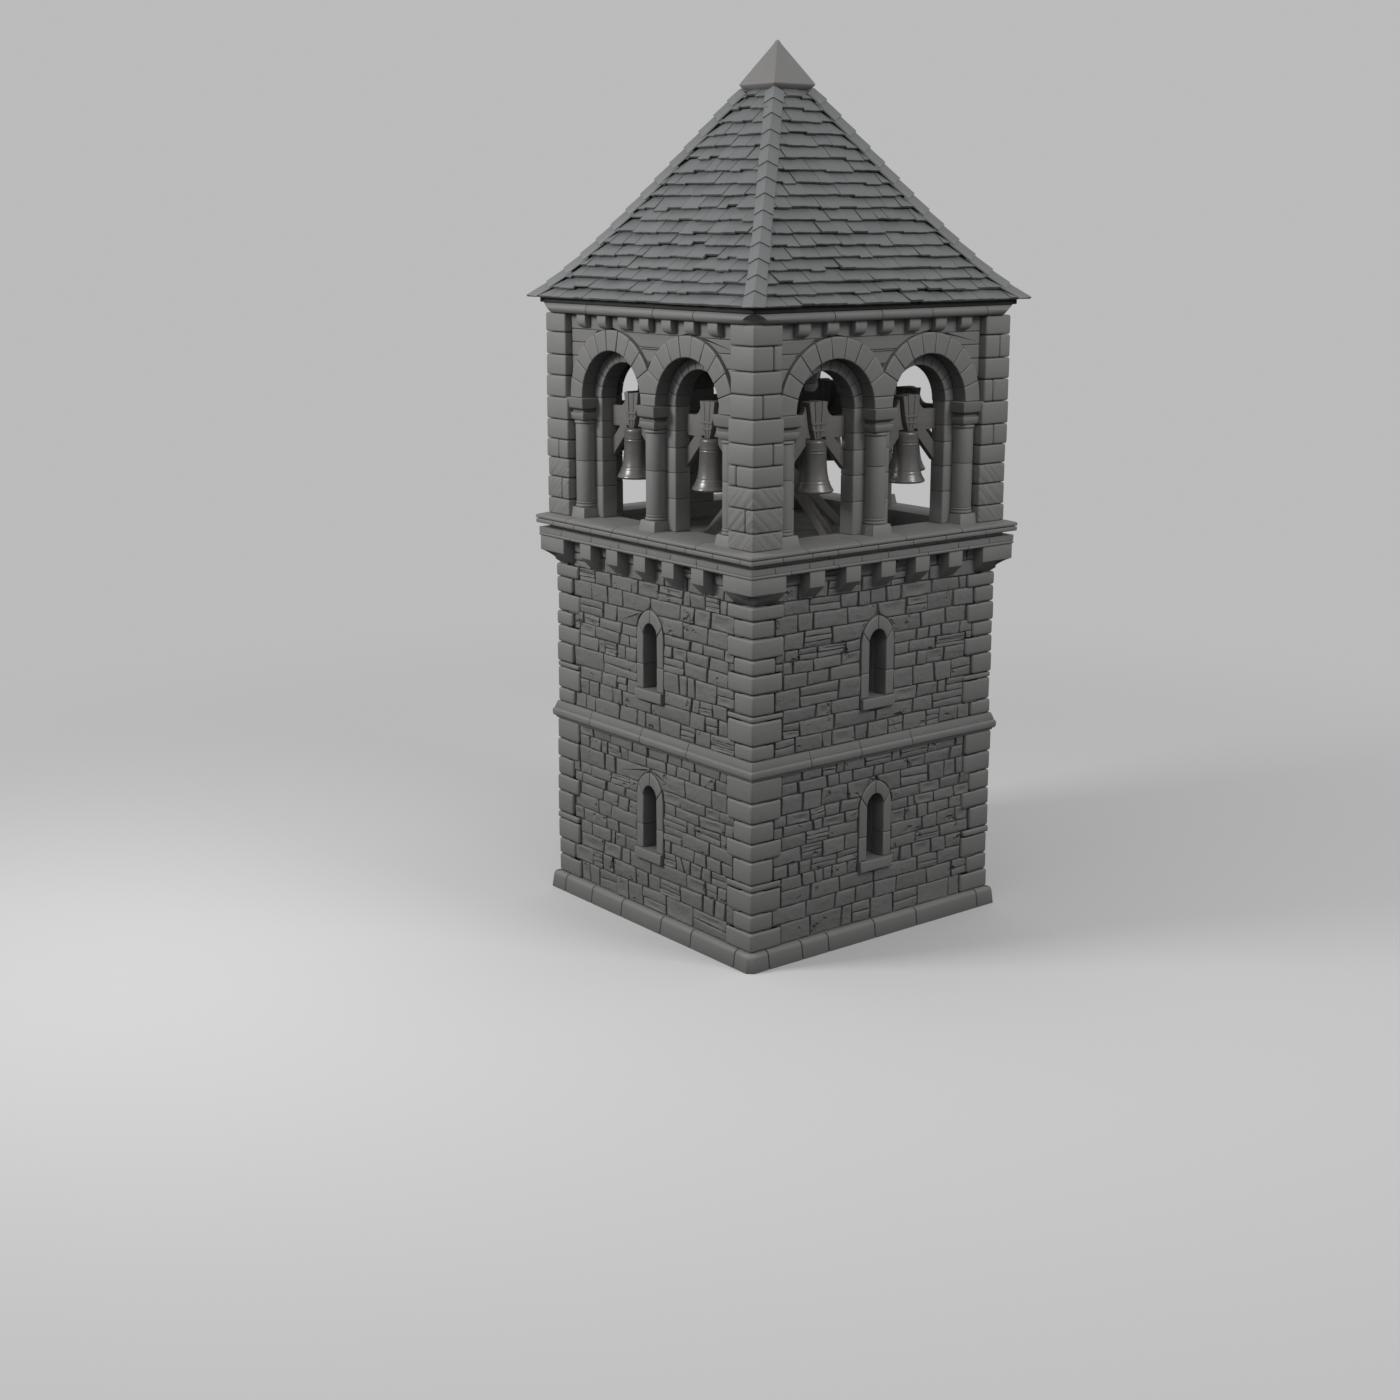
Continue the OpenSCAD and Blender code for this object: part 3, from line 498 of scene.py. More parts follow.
def softened(node, name, materials, width, axis=None, spread=laying["spread"]):
    # the node's own shape with eased edges; each solid takes a tone and the grain of its length
    shape = bmesh.new()
    shape.from_mesh(frame["nodes"][node].data)
    bmesh.ops.remove_doubles(shape, verts=shape.verts, dist=softening["weld"])
    bmesh.ops.dissolve_limit(shape, angle_limit=math.radians(softening["flat"]),
                             verts=shape.verts, edges=shape.edges)
    arrises = [e for e in shape.edges if len(e.link_faces) == 2 and e.is_convex
               and e.calc_face_angle(0) > math.radians(softening["sharp"])]
    made = bmesh.ops.bevel(shape, geom=arrises, offset=width, offset_type="OFFSET", segments=2,
                           profile=0.5, affect="EDGES", clamp_overlap=True)
    shape.verts.index_update()
    # the bevelled edges are marked lighter, as wear and a painted highlight
    worn = {v.index for v in made["verts"]}
    rng = random.Random(name)
    marks = np.zeros((len(shape.verts), 3))
    left = dict.fromkeys(shape.verts)  # kept in order, so that each run gives the same tones
    while left:
        island = {left.popitem()[0]}
        rim = list(island)
        while rim:
            for e in rim.pop().link_edges:
                for v in e.verts:
                    if v in left:
                        del left[v]
                        island.add(v)
                        rim.append(v)
        tone = toneOf(rng, spread)
        spans = np.ptp(np.array([v.co for v in island]), axis=0)
        grain = "xyz".index(axis) if axis else int(spans.argmax())
        for v in island:
            marks[v.index] = (tone, v.index in worn, 0)
            for face in v.link_faces:
                face.material_index = grain if len(materials) > 1 else 0
    mesh = bpy.data.meshes.new(name)
    shape.to_mesh(mesh)
    shape.free()
    showPiece(name, mesh, marks, materials, "tower", [node], softening["smoothTo"])


# plinth, with the flagged floor inside it
plinth = {"seed": 11, "nose": 0.095, "lean": 0.03, "chamfer": 0.1, "farChamfer": 0.03, "depth": 0.155,
          "room": 2.025, "core": 0.01, "lengths": (0.55, 1.25), "lastLength": 1.3, "corner": 0.45,
          "cornerTones": (0.42, 0.58), "cornerWearAndSheen": 0.6, "joint": 0.018, "gap": 0.014,
          "footIn": 0.006, "footUp": 0.012, "smoothTo": 40}
flags = {"count": 6, "gap": 0.003, "foot": 0.02, "top": 0.18, "round": 0.008}


def plinthStones():
    heap, rng = fresh(plinth["seed"])
    out = reachOf("plinth")
    top = heightsOf("plinth")[1]
    nose = plinth["nose"]
    room = plinth["room"]
    deep = out - plinth["depth"]
    rounded = arc(out - plinth["lean"] - nose, top - nose, nose, 0, math.pi / 2, 6)
    foot = [(deep, 0), (out - plinth["footIn"], 0), (out, plinth["footUp"])]
    section = np.array(foot + rounded + [(deep, top)])
    corner = out - plinth["corner"]
    for turn in sides.values():
        stops = [-corner]
        while stops[-1] < corner - plinth["lengths"][1] * plinth["lastLength"]:
            stops.append(stops[-1] + rng.uniform(*plinth["lengths"]))
        layRun(heap, turn, section, stops + [corner], rng, plinth["joint"], plinth["gap"])
        cornerStone(heap, turn, section, out, corner, rng)
        layRun(heap, turn, rectangle(room, 0, deep + plinth["core"], top), [None, None], rng)
    step = 2 * room / flags["count"]
    for i in range(flags["count"]):
        for j in range(flags["count"]):
            h = -room + i * step
            u = -room + j * step
            plan = inset(rectangle(h, u, h + step, u + step), flags["gap"])
            layBlock(heap, 0, plan, flags["foot"], flags["top"], rng, flags["round"])
    dressedPiece("plinth_stones", heap, "plinth", plinth["smoothTo"])


def cornerStone(heap, turn, section, out, start, rng):
    # the section led round the chamfered corner, from this side to the next one
    nearest = turn == sides["front"]  # the near corner is worn most
    chamfer = plinth["chamfer"] if nearest else plinth["farChamfer"]
    turned = out - chamfer - (out - section[:, 0]) * math.tan(math.radians(22.5))
    rings = roundedEnd(section, start + plinth["gap"] / 2, plinth["joint"])
    # the corner ring is marked lighter, as wear and a painted highlight
    rings.append((across(section, turned), plinth["cornerWearAndSheen"], 0))
    rings += [(points[:, [1, 0, 2]], edge, dirtAndShade) for points, edge, dirtAndShade in rings[::-1]]
    heap.loft(turn, rng.uniform(*plinth["cornerTones"]), rings)


plinthStones()

# corner stones, with long arms where 1
quoins = {"seed": 23, "long": 0.70, "short": 0.52, "core": 0.32, "joint": 0.006, "round": 0.045,
          "setback": 0.025, "wander": 0.016, "uneven": (-0.025, 0.01),
          "lower": (35, 32, 40, 13, 42, 32, 35, 36, 40), "lowerLong": (1, 0, 1, 1, 0, 1, 0, 1, 1),
          "upper": (27, 41, 10, 37, 33, 27, 35, 30, 25), "upperLong": (0, 1, 1, 0, 1, 0, 1, 0, 1)}
storeys = {}  # top, faces of the stones, the mortar and the windows' stones, course lines and arms
lowFoot, highTop = heightsOf("corner_stones")
stringFoot, stringTop = heightsOf("string_course")
quoinFace = reachOf("corner_stones")
mortarFace = reachOf("right_wall")
for name, foot, top, back in (("lower", lowFoot, stringFoot, 0),
                              ("upper", stringTop, highTop, quoins["setback"])):
    shares = np.cumsum((0,) + quoins[name]) / sum(quoins[name])
    storeys[name] = {"top": top, "face": quoinFace - back, "field": mortarFace - back,
                     "dressing": reachOf("window_dressings") - back,
                     "lines": foot + (top - foot) * shares, "long": quoins[name + "Long"]}


def cornerBlocks():
    heap, rng = fresh(quoins["seed"])
    joint = quoins["joint"]
    for turn in sides.values():
        for stage in storeys.values():
            for isLong, (foot, top) in zip(stage["long"], pairwise(stage["lines"])):
                face = stage["face"] + rng.uniform(-quoins["wander"], quoins["wander"])
                field = stage["field"]
                core = field - quoins["core"]
                arm = quoins["long"] if isLong else quoins["short"]
                armU = arm + rng.uniform(*quoins["uneven"])
                armH = arm + rng.uniform(*quoins["uneven"])
                plan = [(face, face - armU), (face, face), (face - armH, face), (face - armH, field),
                        (core, field), (core, core), (field, core), (field, face - armU)]
                plan = eased(inset(plan, joint), quoins["round"], (0, 1, 2))
                layBlock(heap, turn, plan, foot + joint, top - joint, rng, quoins["round"])
    dressedPiece("corner_blocks", heap, "corner_stones")


cornerBlocks()

# dressed stones round the windows
windows = {"seed": 31, "sills": {"lower": 1.46, "upper": 4.43}, "half": 0.195, "height": 1.2, "rise": 0.215,
           "jamb": 0.195, "headRise": 0.47, "sillHeight": 0.18, "depth": 0.26, "jambJoint": 0.44,
           "round": 0.02, "joint": 0.004, "tilt": 0.002, "skew": 0.3, "sillOut": 0.06, "sillDrop": 0.02}


def pointedOff(half, rise):  # how far past the middle the arcs of a pointed head are struck
    return (rise * rise - half * half) / (2 * half)


def pointed(half, rise, spring, share):  # a point on the right half of a pointed head
    off = pointedOff(half, rise)
    r = half + off
    a = math.acos(off / r) * share
    return r * math.cos(a) - off, spring + r * math.sin(a)


def dressingHalf(z, sill):  # half width that the window's stones take at a height
    spring = sill + windows["height"] - windows["rise"]
    half = windows["half"] + windows["jamb"]
    if z < sill - windows["sillHeight"] - 1e-4 or z >= spring + windows["headRise"]:
        return 0.0
    if z <= spring:
        return half
    off = pointedOff(half, windows["headRise"])
    return max(math.sqrt((half + off) ** 2 - (z - spring) ** 2) - off, 0)


def windowStones():
    heap, rng = fresh(windows["seed"])
    half = windows["half"]
    wide = half + windows["jamb"]
    shares = np.linspace(0, 1, 6)
    for turn in sides.values():
        for name, sill in windows["sills"].items():
            outer = storeys[name]["dressing"]
            inner = storeys[name]["field"] - windows["depth"]
            spring = sill + windows["height"] - windows["rise"]
            turnAt = sill + windows["jambJoint"]
            under = sill - windows["sillHeight"] - windows["sillDrop"]
            sillStone = inset(rectangle(-wide, under, wide, sill), windows["joint"])
            layStone(heap, turn, sillStone, inner, outer + windows["sillOut"], rng, windows["round"],
                     windows["tilt"])
            gap = [pointed(half, windows["rise"], spring, s) for s in shares]
            back = [pointed(wide, windows["headRise"], spring, s) for s in shares]
            skewed = pointed(wide, windows["headRise"], spring, windows["skew"])  # the head's joints lean up
            head = [p for p in gap + back[:0:-1] + [skewed] if p[0] <= skewed[0] + 1e-6]
            stones = [rectangle(half, sill, wide, turnAt),
                      [(half, turnAt), (wide, turnAt), (wide, spring), skewed, (half, spring)], head]
            for outline in stones + [mirrored(outline) for outline in stones]:
                outline = inset(orderedLeft(outline), windows["joint"])
                layStone(heap, turn, outline, inner, outer, rng, windows["round"], windows["tilt"])
    dressedPiece("window_stones", heap, "window_dressings")


windowStones()

# rubble between the corner stones and round the windows
rubble = {"seed": 47, "joint": 0.014, "upright": 0.009, "proud": (0.018, 0.046), "bed": 0.03,
          "lengths": (0.2, 0.78), "lengthen": (0.75, 0.9), "shortest": 0.17, "thinnest": 0.07, "slant": 0.014,
          "bond": 0.07, "bondStep": 0.1, "armStep": 0.05, "beside": 0.02, "round": 0.026,
          "roundShares": (0.7, 1.2), "tilt": 0.011, "wander": 0.006, "step": 0.12,
          "wave": 0.011, "waves": (1.2, 2.6), "phases": (0, 6.28), "scooped": 0.12, "scoop": 0.014,
          "broken": 0.3, "split": 0.2, "slips": (2, 2, 3), "slipLean": 0.12,
          "crack": 0.015, "crackAt": (0.25, 0.75), "crackLean": 0.25, "crackLimits": (0.15, 0.85),
          "lower": (0.33, 0.70, 1.0, 1.28, 1.53, 1.75, 2.02, 2.25, 2.45, 2.66, 2.98, 3.19, 3.38),
          "upper": (3.70, 3.98, 4.25, 4.50, 4.85, 5.10, 5.31, 5.51, 5.80, 6.10, 6.35, 6.60, 6.85)}


def armEnd(stage, z):  # where the corner stones end at a height
    k = int(np.clip(np.searchsorted(stage["lines"], z) - 1, 0, len(stage["long"]) - 1))
    return stage["face"] - (quoins["long"] if stage["long"][k] else quoins["short"])


def stoneBetween(left, right):  # outline from two edges, each listed from its foot up
    return [left[0]] + list(right) + [left[-1]] + list(left[-2:0:-1])


def freeBetween(left, right):  # where the stretch between two edges starts and stops
    return max(u for u, z in left), min(u for u, z in right)


def layRubble(heap, turn, outline, face, rng):
    outline = inset(outline, rubble["joint"] / 2)
    middle = (outline[:, 0].min() + outline[:, 0].max()) / 2
    outline[:, 0] -= np.sign(outline[:, 0] - middle) * rubble["upright"]  # upright joints are wider
    outline = handCut(outline, rubble["step"], rubble["wander"], rng)
    layStone(heap, turn, outline, face - rubble["bed"], face + rng.uniform(*rubble["proud"]), rng,
             rubble["round"] * rng.uniform(*rubble["roundShares"]), rubble["tilt"],
             scooped=rubble["scoop"] if rng.random() < rubble["scooped"] else 0)


def slips(outline, rng):  # a stone of four corners split along its bed
    a, b, c, d = [np.array(p) for p in outline]
    count = rng.choice(rubble["slips"])
    lean = rubble["slipLean"]
    cuts = [[k / count + rng.uniform(-lean, lean) / count for k in range(1, count)] for side in "lr"]
    lefts, rights = [pairwise([0.0] + cut + [1.0]) for cut in cuts]
    return [[a + (d - a) * left0, b + (c - b) * right0, b + (c - b) * right1, a + (d - a) * left1]
            for (left0, left1), (right0, right1) in zip(lefts, rights)]


def cracked(outline, rng):  # broken across on the slant
    a, b, c, d = [np.array(p) for p in outline]
    least, most = rubble["crackLimits"]
    low = rng.uniform(*rubble["crackAt"])
    high = min(max(low + rng.uniform(-rubble["crackLean"], rubble["crackLean"]), least), most)
    foot = a + (b - a) * low
    head = d + (c - d) * high
    return [[a, foot, head, d], [foot, b, c, head]]


def fillArms(heap, turn, stage, z0, z1, rng):  # small stones beside the shorter arms; gives the longest's end
    thin = rubble["thinnest"]
    cuts = [z0] + [z for z in stage["lines"] if z0 + thin < z < z1 - thin] + [z1]
    ends = [armEnd(stage, (a + b) / 2) for a, b in pairwise(cuts)]
    if z0 >= stage["top"] - 0.01:
        ends = [stage["face"] - quoins["short"]] * len(ends)
    reach = min(ends)
    for way in (-1, 1):
        for (a, b), end in zip(pairwise(cuts), ends):
            if end > reach + rubble["armStep"]:
                left, right = sorted((way * reach, way * end))
                layRubble(heap, turn, rectangle(left, a, right, b), stage["field"], rng)
    return reach


def courseSpans(reach, z0, z1, sill):  # the edges of a course, beside the window where there is one
    heights = np.linspace(z0, z1, 5)
    halves = [dressingHalf(z, sill) for z in heights]
    left, right = [(-reach, z0), (-reach, z1)], [(reach, z0), (reach, z1)]
    if max(halves) <= rubble["beside"]:
        return [(left, right)]
    jambs = list(zip(halves, heights))
    if halves[0] == halves[-1]:
        jambs = [jambs[0], jambs[-1]]
    return [(left, mirrored(jambs)), (jambs, right)]


def layCourse(heap, turn, stage, sill, z0, z1, waves, below, rng):
    def wavy(u, z):  # the course lines wander a little, but not beside a window
        half = dressingHalf(z, sill)
        if half > 0 and abs(u) < half + rubble["beside"]:
            return z
        nearTop = (z - z0) / (z1 - z0)
        low, high = [0 if w is None else rubble["wave"] * math.sin(w[0] * u + w[1]) for w in waves]
        return z + low * (1 - nearTop) + high * nearTop

    joints = []
    least, more = rubble["lengthen"]
    reach = fillArms(heap, turn, stage, z0, z1, rng)
    for left, right in courseSpans(reach, z0, z1, sill):
        u, stop = freeBetween(left, right)
        edges = [left]
        while True:
            u += rng.uniform(*rubble["lengths"]) * (least + more * (z1 - z0))
            if any(abs(u - joint) < rubble["bond"] for joint in below):
                u += rubble["bondStep"]
            if u > stop - rubble["shortest"]:
                break
            slant = rng.uniform(-rubble["slant"], rubble["slant"])
            edges.append([(u - slant, z0), (u + slant, z1)])
            joints.append(u)
        for a, b in pairwise(edges + [right]):
            outline = [(u, wavy(u, z)) for u, z in stoneBetween(a, b)]
            plain = len(outline) == 4 and np.ptp([u for u, z in outline]) > rubble["broken"]
            lot = rng.random()
            parts = [outline]
            if plain and lot < rubble["split"]:
                parts = slips(outline, rng)
            elif plain and lot < rubble["split"] + rubble["crack"]:
                parts = cracked(outline, rng)
            for part in parts:
                layRubble(heap, turn, part, stage["field"], rng)
    return joints


def rubbleSide(name, turn):
    heap, rng = fresh(rubble["seed"] + turn)
    for storey, stage in storeys.items():
        lines = rubble[storey]
        waves = [(rng.uniform(*rubble["waves"]), rng.uniform(*rubble["phases"])) for line in lines]
        waves[0] = waves[-1] = None
        joints = []
        for (z0, z1), ends in zip(pairwise(lines), pairwise(waves)):
            joints = layCourse(heap, turn, stage, windows["sills"][storey], z0, z1, ends, joints, rng)
    makePiece(name + "_rubble", heap, rubbleStone)


for side, turn in sides.items():
    rubbleSide(side, turn)
    node = frame["nodes"][side + "_wall"]
    node.data.materials.clear()
    node.data.materials.append(mortar)

# string course between the storeys; its nose as steps out from the reach and shares of the height
string = {"seed": 53, "lengths": (1.15, 1.6), "joint": 0.012, "bed": 0.01, "over": 0.005,
          "nose": ((-0.05, 0.08), (-0.018, 0.13), (-0.004, 0.2), (0, 0.3), (0, 0.42), (-0.004, 0.5),
                   (-0.016, 0.56), (-0.034, 0.585), (-0.03, 0.63))}


def stringStones():
    heap, rng = fresh(string["seed"])
    nose = reachOf("string_course")
    tall = stringTop - stringFoot
    back = mortarFace - string["bed"]
    section = [(back, stringFoot), (quoinFace, stringFoot)]
    section += [(nose + out, stringFoot + up * tall) for out, up in string["nose"]]
    section += [(quoinFace - quoins["setback"] + string["over"], stringTop), (back, stringTop)]
    for turn in sides.values():
        layRun(heap, turn, section, stopsAlong(nose, *string["lengths"], rng), rng, string["joint"])
    dressedPiece("string_stones", heap, "string_course")


stringStones()

# corbels, and the belfry's cornice course by course
softened("corbels", "corbel_stones", [dressedStone], width=0.016, spread=0.1)
cornice = {"seed": 61, "inner": 2.245, "bed": 2.62, "bead": 0.07, "brick": 0.095, "cove": 0.075,
           "roll": 0.085, "rollRound": 0.02, "rollIn": 0.004, "groove": 0.005, "slope": 0.04, "sill": 0.03,
           "beadOut": 0.02, "brickOut": 0.015, "coveIn": 0.14, "joint": 0.009,
           "longStones": (0.9, 1.5), "bricks": (0.5, 1.0)}


def halfRound(out, foot, top, back, points=7):  # a roll in front of a flat bed
    r = (top - foot) / 2
    return [(back, foot)] + arc(out - r, foot + r, r, -math.pi / 2, math.pi / 2, points) + [(back, top)]


def corniceStones():
    heap, rng = fresh(cornice["seed"])
    foot, top = heightsOf("belfry_cornice")
    out = reachOf("belfry_cornice")
    corbelFace = reachOf("corbels")
    inner = cornice["inner"]
    bed = cornice["bed"]
    brickFoot = foot + cornice["bead"]
    coveFoot = brickFoot + cornice["brick"]
    rollFoot = coveFoot + cornice["cove"]
    middle = rollFoot + cornice["roll"]
    brickFace = corbelFace + cornice["brickOut"]
    sill = (reachOf("corner_piers") + cornice["sill"], top)
    over = middle + cornice["groove"]
    lower = rectangle(bed, rollFoot, out - cornice["rollIn"], middle - cornice["groove"])
    upper = [(inner, over), (out, over), (out, top - cornice["slope"]), sill, (inner, top)]
    courses = (
        (halfRound(corbelFace + cornice["beadOut"], foot, brickFoot, bed), "longStones"),
        (rectangle(bed, brickFoot, brickFace, coveFoot), "bricks"),
        (rectangle(bed, coveFoot, brickFace - cornice["coveIn"], rollFoot), "longStones"),
        (eased(lower, cornice["rollRound"], (1, 2)), "bricks"),
        (eased(upper, cornice["rollRound"], (1, 2)), "longStones"),
        (rectangle(inner, foot, bed, middle), "longStones"),
    )
    for turn in sides.values():
        for section, lengths in courses:
            layRun(heap, turn, section, stopsAlong(out, *cornice[lengths], rng), rng, cornice["joint"])
    dressedPiece("cornice_stones", heap, "belfry_cornice")


corniceStones()

# belfry: corner piers, each course one stone or, where 1, two
piers = {"seed": 67, "width": 0.62, "lowWidth": 0.67, "lowTop": 9.4, "tooledTop": 8.4, "round": 0.034,
         "joint": 0.005, "wander": 0.01, "splitAt": (0.3, 0.7),
         "lines": (7.28, 7.58, 7.97, 8.32, 8.66, 9.02, 9.42, 9.81, 10.18, 10.58, 10.92),
         "split": (0, 1, 0, 1, 1, 0, 1, 0, 1, 0)}


def pierStones():
    rng = random.Random(piers["seed"])
    plain = Heap()
    tooled = Heap()
    out = reachOf("corner_piers")
    joint = piers["joint"]
    for turn in sides.values():
        for k, (foot, top) in enumerate(pairwise(piers["lines"])):
            wide = piers["lowWidth"] if foot < piers["lowTop"] else piers["width"]
            heap = tooled if top < piers["tooledTop"] else plain
            low = out - wide
            face = out + rng.uniform(-piers["wander"], piers["wander"])
            plans = [rectangle(low, low, face, face)]
            if piers["split"][k]:
                at = low + wide * rng.uniform(*piers["splitAt"])
                plans = [rectangle(low, low, face, at), rectangle(low, at, face, face)]
                if (k + turn // 90) % 2:
                    plans = [rectangle(low, low, at, face), rectangle(at, low, face, face)]
            for plan in plans:
                plan = eased(inset(plan, joint), piers["round"], range(4))
                layBlock(heap, turn, plan, foot + (joint if k else 0), top - joint, rng, piers["round"])
    dressedPiece("pier_blocks", plain, "corner_piers")
    makePiece("pier_foot_blocks", tooled, tooledStone, stands=["corner_piers"])


pierStones()

# the arcades' piers, arches in two orders and spandrels
arcade = {"seed": 71, "centre": 1.08, "spring": 9.44, "inner": 0.66, "innerBack": 0.88, "outer": 0.87,
          "outerBack": 1.24, "face": 2.58, "spandrel": 2.80, "stones": 11, "round": 0.02, "softRound": 0.016,
          "pierLines": (7.28, 7.85, 8.30, 8.73, 9.02, 9.44), "springerTop": 9.64, "pierRound": 0.03,
          "spandrelLines": (9.44, 9.86, 10.18, 10.42, 10.65, 10.92), "joint": 0.0035, "middleGap": 0.004,
          "least": 0.03, "tilt": 0.002, "outerTilt": 0.003, "spread": 0.08, "outerProud": (-0.006, 0.004),
          "spandrelProud": (-0.008, 0.004), "longest": 0.7, "jointAside": 0.1}


def archPoint(way, r, a):  # on the arch left or right of the middle; the angle starts at the middle's side
    return way * (arcade["centre"] - r * math.cos(a)), arcade["spring"] + r * math.sin(a)


def voussoir(way, r0, r1, a0, a1):
    inside = [archPoint(way, r0, a) for a in np.linspace(a0, a1, 4)]
    outside = [archPoint(way, r1, a) for a in np.linspace(a1, a0, 4)]
    return inset(orderedLeft(inside + outside), arcade["joint"])


def spandrelSpans(z0, z1, r, half):  # free stretches of a course beside and between the arches
    centre = arcade["centre"]

    def chord(z):
        return math.sqrt(max(r * r - (z - arcade["spring"]) ** 2, 0))

    # the rings part at this height
    part = max(z0, arcade["spring"] + math.sqrt(max(r * r - centre ** 2, 0)))
    beside = [(centre + chord(z), z) for z in np.linspace(z0, z1, 6)]
    between = [(max(centre - chord(z), arcade["middleGap"]), z) for z in np.linspace(part, z1, 6)]
    spans = []
    if min(half - u for u, z in beside) > arcade["least"]:
        spans.append((beside, [(half, z0), (half, z1)]))
        spans.append(([(-half, z0), (-half, z1)], mirrored(beside)))
    if z1 - part > arcade["least"]:
        spans.append((mirrored(between), between))
    return spans


def arcadePiers(heap, turn, inner, half, rng):
    face = arcade["face"]
    middle = arcade["centre"] - arcade["inner"]
    edge = arcade["centre"] + arcade["inner"]
    sidePier = [(inner, edge), (face, edge), (face, half), (half, half), (inner, inner)]
    otherPier = [(h, -u) for h, u in sidePier][::-1]
    plans = [(rectangle(inner, -middle, face, middle), range(4)), (sidePier, (0, 1)), (otherPier, (3, 4))]
    for z0, z1 in pairwise(arcade["pierLines"]):
        for plan, corners in plans:
            plan = eased(plan, arcade["pierRound"], corners)
            layBlock(heap, turn, plan, z0, z1, rng, arcade["round"])


def arcadeStones(name, turn):
    heap, rng = fresh(arcade["seed"] + turn)
    low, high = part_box("right_arcade")
    inner = low.x
    ring = high.x
    half = reachOf("corner_piers") - piers["width"]
    face = arcade["face"]
    size = arcade["round"]
    tilt = arcade["tilt"]
    arcadePiers(heap, turn, inner, half, rng)
    merge = math.acos(arcade["centre"] / arcade["outerBack"])  # where the two outer rings part
    for way in (-1, 1):
        for a0, a1 in pairwise(np.linspace(0, math.pi, arcade["stones"] + 1)):
            stone = voussoir(way, arcade["inner"], arcade["innerBack"], a0, a1)
            layStone(heap, turn, stone, inner, face, rng, size, tilt, arcade["spread"])
        for a0, a1 in pairwise(np.linspace(merge, math.pi, arcade["stones"] - 1)):
            stone = voussoir(way, arcade["outer"], arcade["outerBack"], a0, a1)
            layStone(heap, turn, stone, face, ring + rng.uniform(*arcade["outerProud"]), rng, size,
                     arcade["outerTilt"], arcade["spread"])
    split = math.asin((arcade["springerTop"] - arcade["spring"]) / arcade["outer"])
    for a0, a1 in ((0, split), (split, merge)):  # the springers that the two rings share
        right = [archPoint(1, arcade["outer"], a) for a in np.linspace(a0, a1, 4)]
        tip = [(0, arcade["spring"] + arcade["outerBack"] * math.sin(merge))] if a1 == merge else []
        outline = inset(orderedLeft(right + tip + mirrored(right)[::-1]), arcade["joint"])
        layStone(heap, turn, outline, face, ring, rng, size, tilt, arcade["spread"])
    orders = ((arcade["innerBack"], inner, face, inner),
              (arcade["outerBack"], face, arcade["spandrel"], half))
    for z0, z1 in pairwise(arcade["spandrelLines"]):
        for r, h0, h1, end in orders:
            for left, right in spandrelSpans(z0, z1, r, end):
                start, stop = freeBetween(left, right)
                edges = [left, right]
                if stop - start > arcade["longest"]:
                    u = (start + stop) / 2 + rng.uniform(-arcade["jointAside"], arcade["jointAside"])
                    edges = [left, [(u, z0), (u, z1)], right]
                for a, b in pairwise(edges):
                    outline = inset(orderedLeft(stoneBetween(a, b)), arcade["joint"])
                    layStone(heap, turn, outline, h0, h1 + rng.uniform(*arcade["spandrelProud"]), rng,
                             arcade["softRound"], arcade["outerTilt"])
    dressedPiece(name + "_arch_stones", heap, name + "_arcade")


for side, turn in sides.items():
    arcadeStones(side, turn)

# middle of the columns in front of the inner arches, and of the corner ones in from the piers
columns = {"out": 0.09, "in": 0.225, "segments": 48}
shafts = {"seed": 79, "round": 0.012, "joint": 0.004, "share": (0.5, 0.66), "spread": 0.05}
# half widths of the square part and their depths under the springing, with wear and painted highlight, and
# dirt and painted shade that is darkest in the undercut under the abacus
capitals = {"seed": 89, "corner": 0.012, "neckOut": 0.02, "neckSteps": 8, "spread": 0.06,
            "square": ((0.15, 0.41, 0, 0.6), (0.176, 0.402, 0.3, 0.2), (0.19, 0.38, 0.6, 0),
                       (0.2, 0.34, 0, 0), (0.208, 0.283, 0.6, 0), (0.206, 0.274, 0.9, 0),
                       (0.198, 0.27, 0.2, 0.6), (0.17, 0.262, 0, 0.9), (0.168, 0.232, 0, 1),
                       (0.222, 0.19, 0, 0.9), (0.23, 0.184, 0.9, 0), (0.236, 0.172, 0.6, 0),
                       (0.256, 0.018, 0.3, 0), (0.257, 0.008, 1, 0), (0.251, 0.002, 0.6, 0.2))}
softened("column_bases", "base_stones", [dressedStone], width=0.012, spread=0.08)
columnH = arcade["face"] + columns["out"]
shaftRound = reachOf("column_shafts") - arcade["face"] - columns["out"]


def columnPlaces():
    side = reachOf("corner_piers") - piers["width"] - columns["in"]
    return [(turn, u) for turn in sides.values() for u in (-side, 0, side)]


def roundPlan(u, r):
    turns = np.linspace(0, 2 * math.pi, columns["segments"], endpoint=False)
    return np.column_stack((columnH + r * np.cos(turns), u + r * np.sin(turns)))


def shaftDrums():
    heap, rng = fresh(shafts["seed"])
    foot, top = heightsOf("column_shafts")
    gap = shafts["joint"] / 2
    for turn, u in columnPlaces():
        at = foot + (top - foot) * rng.uniform(*shafts["share"])
        for z0, z1 in ((foot, at - gap), (at + gap, top)):
            layBlock(heap, turn, roundPlan(u, shaftRound), z0, z1, rng, shafts["round"], shafts["spread"])
    dressedPiece("shaft_drums", heap, "column_shafts")


